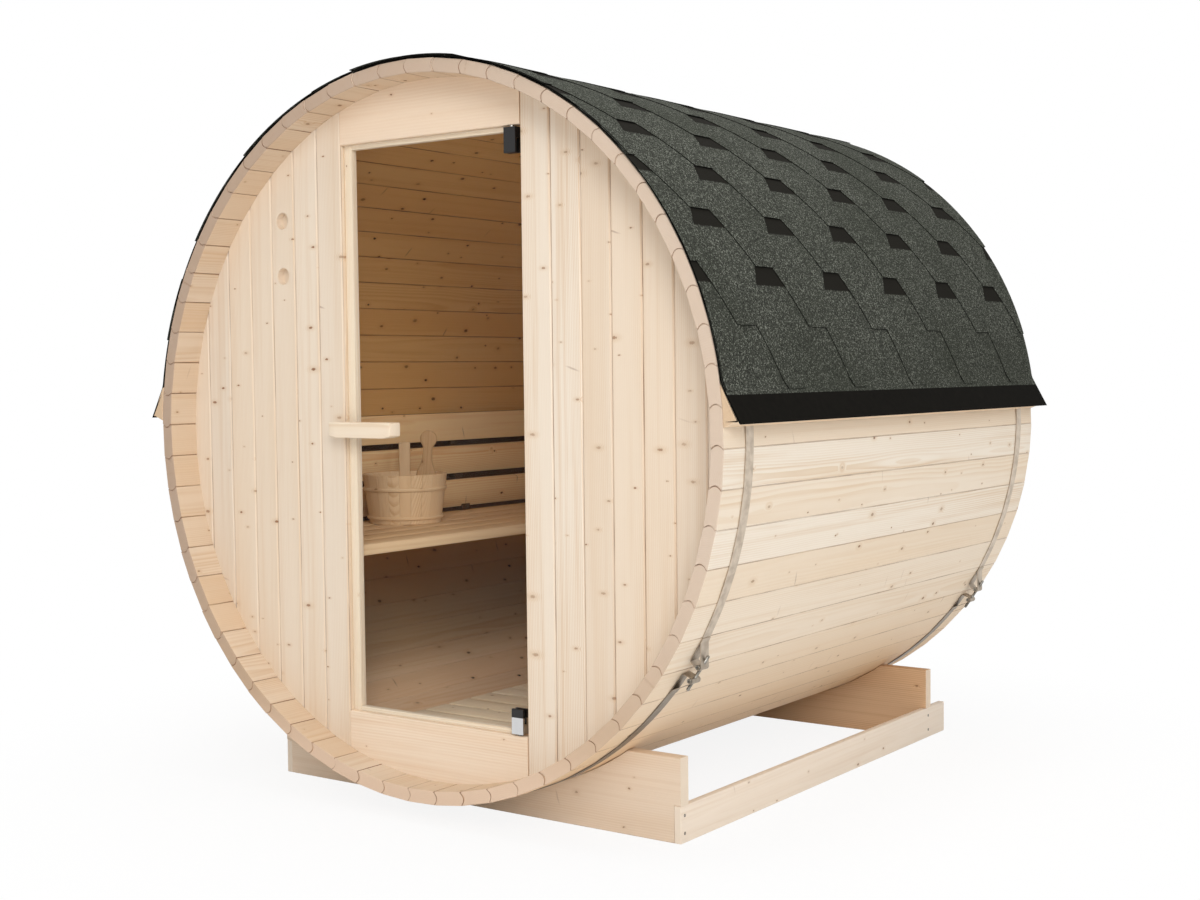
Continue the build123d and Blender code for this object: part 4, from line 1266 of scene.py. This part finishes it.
def ladle_shape(shape):
    """A flattened oval carried up the leaning ladle.

    Its half width holds from the foot to the shoulder, falls by a smooth step to the neck, swells by a cubic
    and closes in the circle of the round end.
    """
    join, join_half = end + end_radius * math.sin(join_turn), end_radius * math.cos(join_turn)
    rise = np.concatenate([
        [0.0, 0.05, shoulder], np.linspace(shoulder, neck, 12)[1:], np.linspace(neck, join, 10)[1:],
        end + end_radius * np.sin(np.linspace(join_turn, close_turn, 16))[1:],
    ])
    drop = np.clip((rise - shoulder) / (neck - shoulder), 0, 1)
    stem = foot_half + (neck_half - foot_half) * drop**2 * (3 - 2 * drop)
    share = np.clip((rise - neck) / (join - neck), 0, 1)
    steep = -math.tan(join_turn) * (join - neck)
    swell = neck_half + (join_half - neck_half) * share**2 * (3 - 2 * share) + steep * share**2 * (share - 1)
    bulb = np.sqrt(np.maximum(end_radius**2 - (rise - end) ** 2, 1e-9))
    half = np.where(rise <= neck, stem, np.where(rise <= join, swell, bulb))
    thick = ladle_thick * np.clip(half / thin_half, 0.1, 1) ** thin_power
    turn = np.linspace(0, 2 * math.pi, 24, endpoint=False)
    wide = half[:, None] * np.sign(np.cos(turn)) * np.abs(np.cos(turn)) ** oval_power
    deep = thick[:, None] * np.sign(np.sin(turn)) * np.abs(np.sin(turn)) ** oval_power
    rise = np.broadcast_to(rise[:, None], wide.shape)
    side = ladle_side + wide * math.cos(ladle_lean) + rise * math.sin(ladle_lean)
    rows = np.stack([
        bucket_x + side * math.cos(view_turn) - deep * math.sin(view_turn),
        bucket_y + side * math.sin(view_turn) + deep * math.cos(view_turn),
        bench_z + ladle_foot + rise * math.cos(ladle_lean) - wide * math.sin(ladle_lean),
    ], -1)
    shape.add(rows, np.stack([rise, wide, deep], -1), 0.3)


ladle = Shape()
ladle_shape(ladle)
ladle.piece("ladle_handle", ladle_wood, "bucket_wood", ["ladle"], crease=50)

# Floor: white to the camera and to mirrors, with a share of its true shade near the barrel
floor_reach = 40.0
floor_corners = [(x * floor_reach, y * floor_reach, 0) for x, y in ((-1, -1), (1, -1), (1, 1), (-1, 1))]
ground_mesh = bpy.data.meshes.new("studio_floor")
ground_mesh.from_pydata(floor_corners, [], [(0, 1, 2, 3)])
studio_floor = bpy.data.objects.new("studio_floor", ground_mesh)
bpy.context.scene.collection.objects.link(studio_floor)
ground_finish = Finish("studio_floor")
ray = ground_finish.node("LightPath", {}, {}, "Is Camera Ray")
seen = ray.either(ray.other("Is Glossy Ray")).either(ray.other("Is Transmission Ray"))
matte = ground_finish.node("BsdfDiffuse", {}, {"Color": (0.94, 0.93, 0.92, 1)})
glow = ground_finish.node("Emission", {}, {"Color": (1, 1, 1, 1), "Strength": 1.0})
away = ground_finish.node("VectorMath", {"operation": "LENGTH"}, {0: ground_finish.place()}, "Value")
white = 0.88 + 0.12 * ground_finish.rise(away, 0.9, 2.2)
lit = ground_finish.node("MixShader", {}, {0: seen * white, 1: matte, 2: glow})
ground_mesh.materials.append(ground_finish.surface(lit))

# Light: a pale world, white where it is seen, and three soft lamps
world = bpy.data.worlds.new("studio")
world.use_nodes = True
bpy.context.scene.world = world
sky = Nodes(world.node_tree)
ray = sky.node("LightPath", {}, {}, "Is Camera Ray")
seen = ray.either(ray.other("Is Glossy Ray"))
level = sky.node("MapRange", {}, {"Value": seen, "To Min": 0.52, "To Max": 1.0})
sky.feed(sky.tree.nodes["Background"], {"Color": (1, 1, 1, 1), "Strength": level})


def placed(right, up, back, place):
    """The matrix that turns an object's axes to three directions and sets it at a place."""
    turn = np.eye(4)
    turn[:3] = np.stack([right, up, back, place], 1)
    return Matrix(turn.tolist())


def lamp(name, place, target, size, power):
    """A square lamp that looks from its place to its target."""
    light = bpy.data.lights.new(name, "AREA")
    light.shape = "SQUARE"
    light.size = size
    light.energy = power
    made = bpy.data.objects.new(name, light)
    back = np.array(place, float) - np.array(target, float)
    back /= np.linalg.norm(back)
    right = np.cross([0, 0, 1], back)
    right /= np.linalg.norm(right)
    made.matrix_world = placed(right, np.cross(back, right), back, place)
    bpy.context.scene.collection.objects.link(made)


lamp("key_light", (6.4, -7.0, 5.0), (0, 0, 0.9), 4.4, 430)
lamp("fill_light", (0.50, -0.30, 1.15), (-0.75, 0.10, 0.66), 0.45, 1.5)
lamp("top_light", (0.6, -0.6, 5.6), (0, 0, 0.9), 4.0, 120)

# Camera at the photograph's angle
azimuth, elevation, roll = np.radians([35.374, 2.931, -0.6135])
camera_place = (2.851, -3.995, 1.1454)
level_back = np.array([np.sin(azimuth), -np.cos(azimuth), 0])
back = level_back * np.cos(elevation) + np.array([0, 0, np.sin(elevation)])
right = np.array([np.cos(azimuth), np.sin(azimuth), 0])
up = np.cross(back, right)
rolled_right = np.cos(roll) * right + np.sin(roll) * up
rolled_up = np.cos(roll) * up - np.sin(roll) * right
lens = bpy.data.cameras.new("camera")
lens.sensor_width = 36
lens.lens = 49.77
lens.shift_x = -0.0154
lens.shift_y = 0.0046
camera = bpy.data.objects.new("camera", lens)
camera.matrix_world = placed(rolled_right, rolled_up, back, camera_place)
bpy.context.scene.collection.objects.link(camera)
bpy.context.scene.camera = camera
bpy.context.scene.view_settings.view_transform = "Standard"
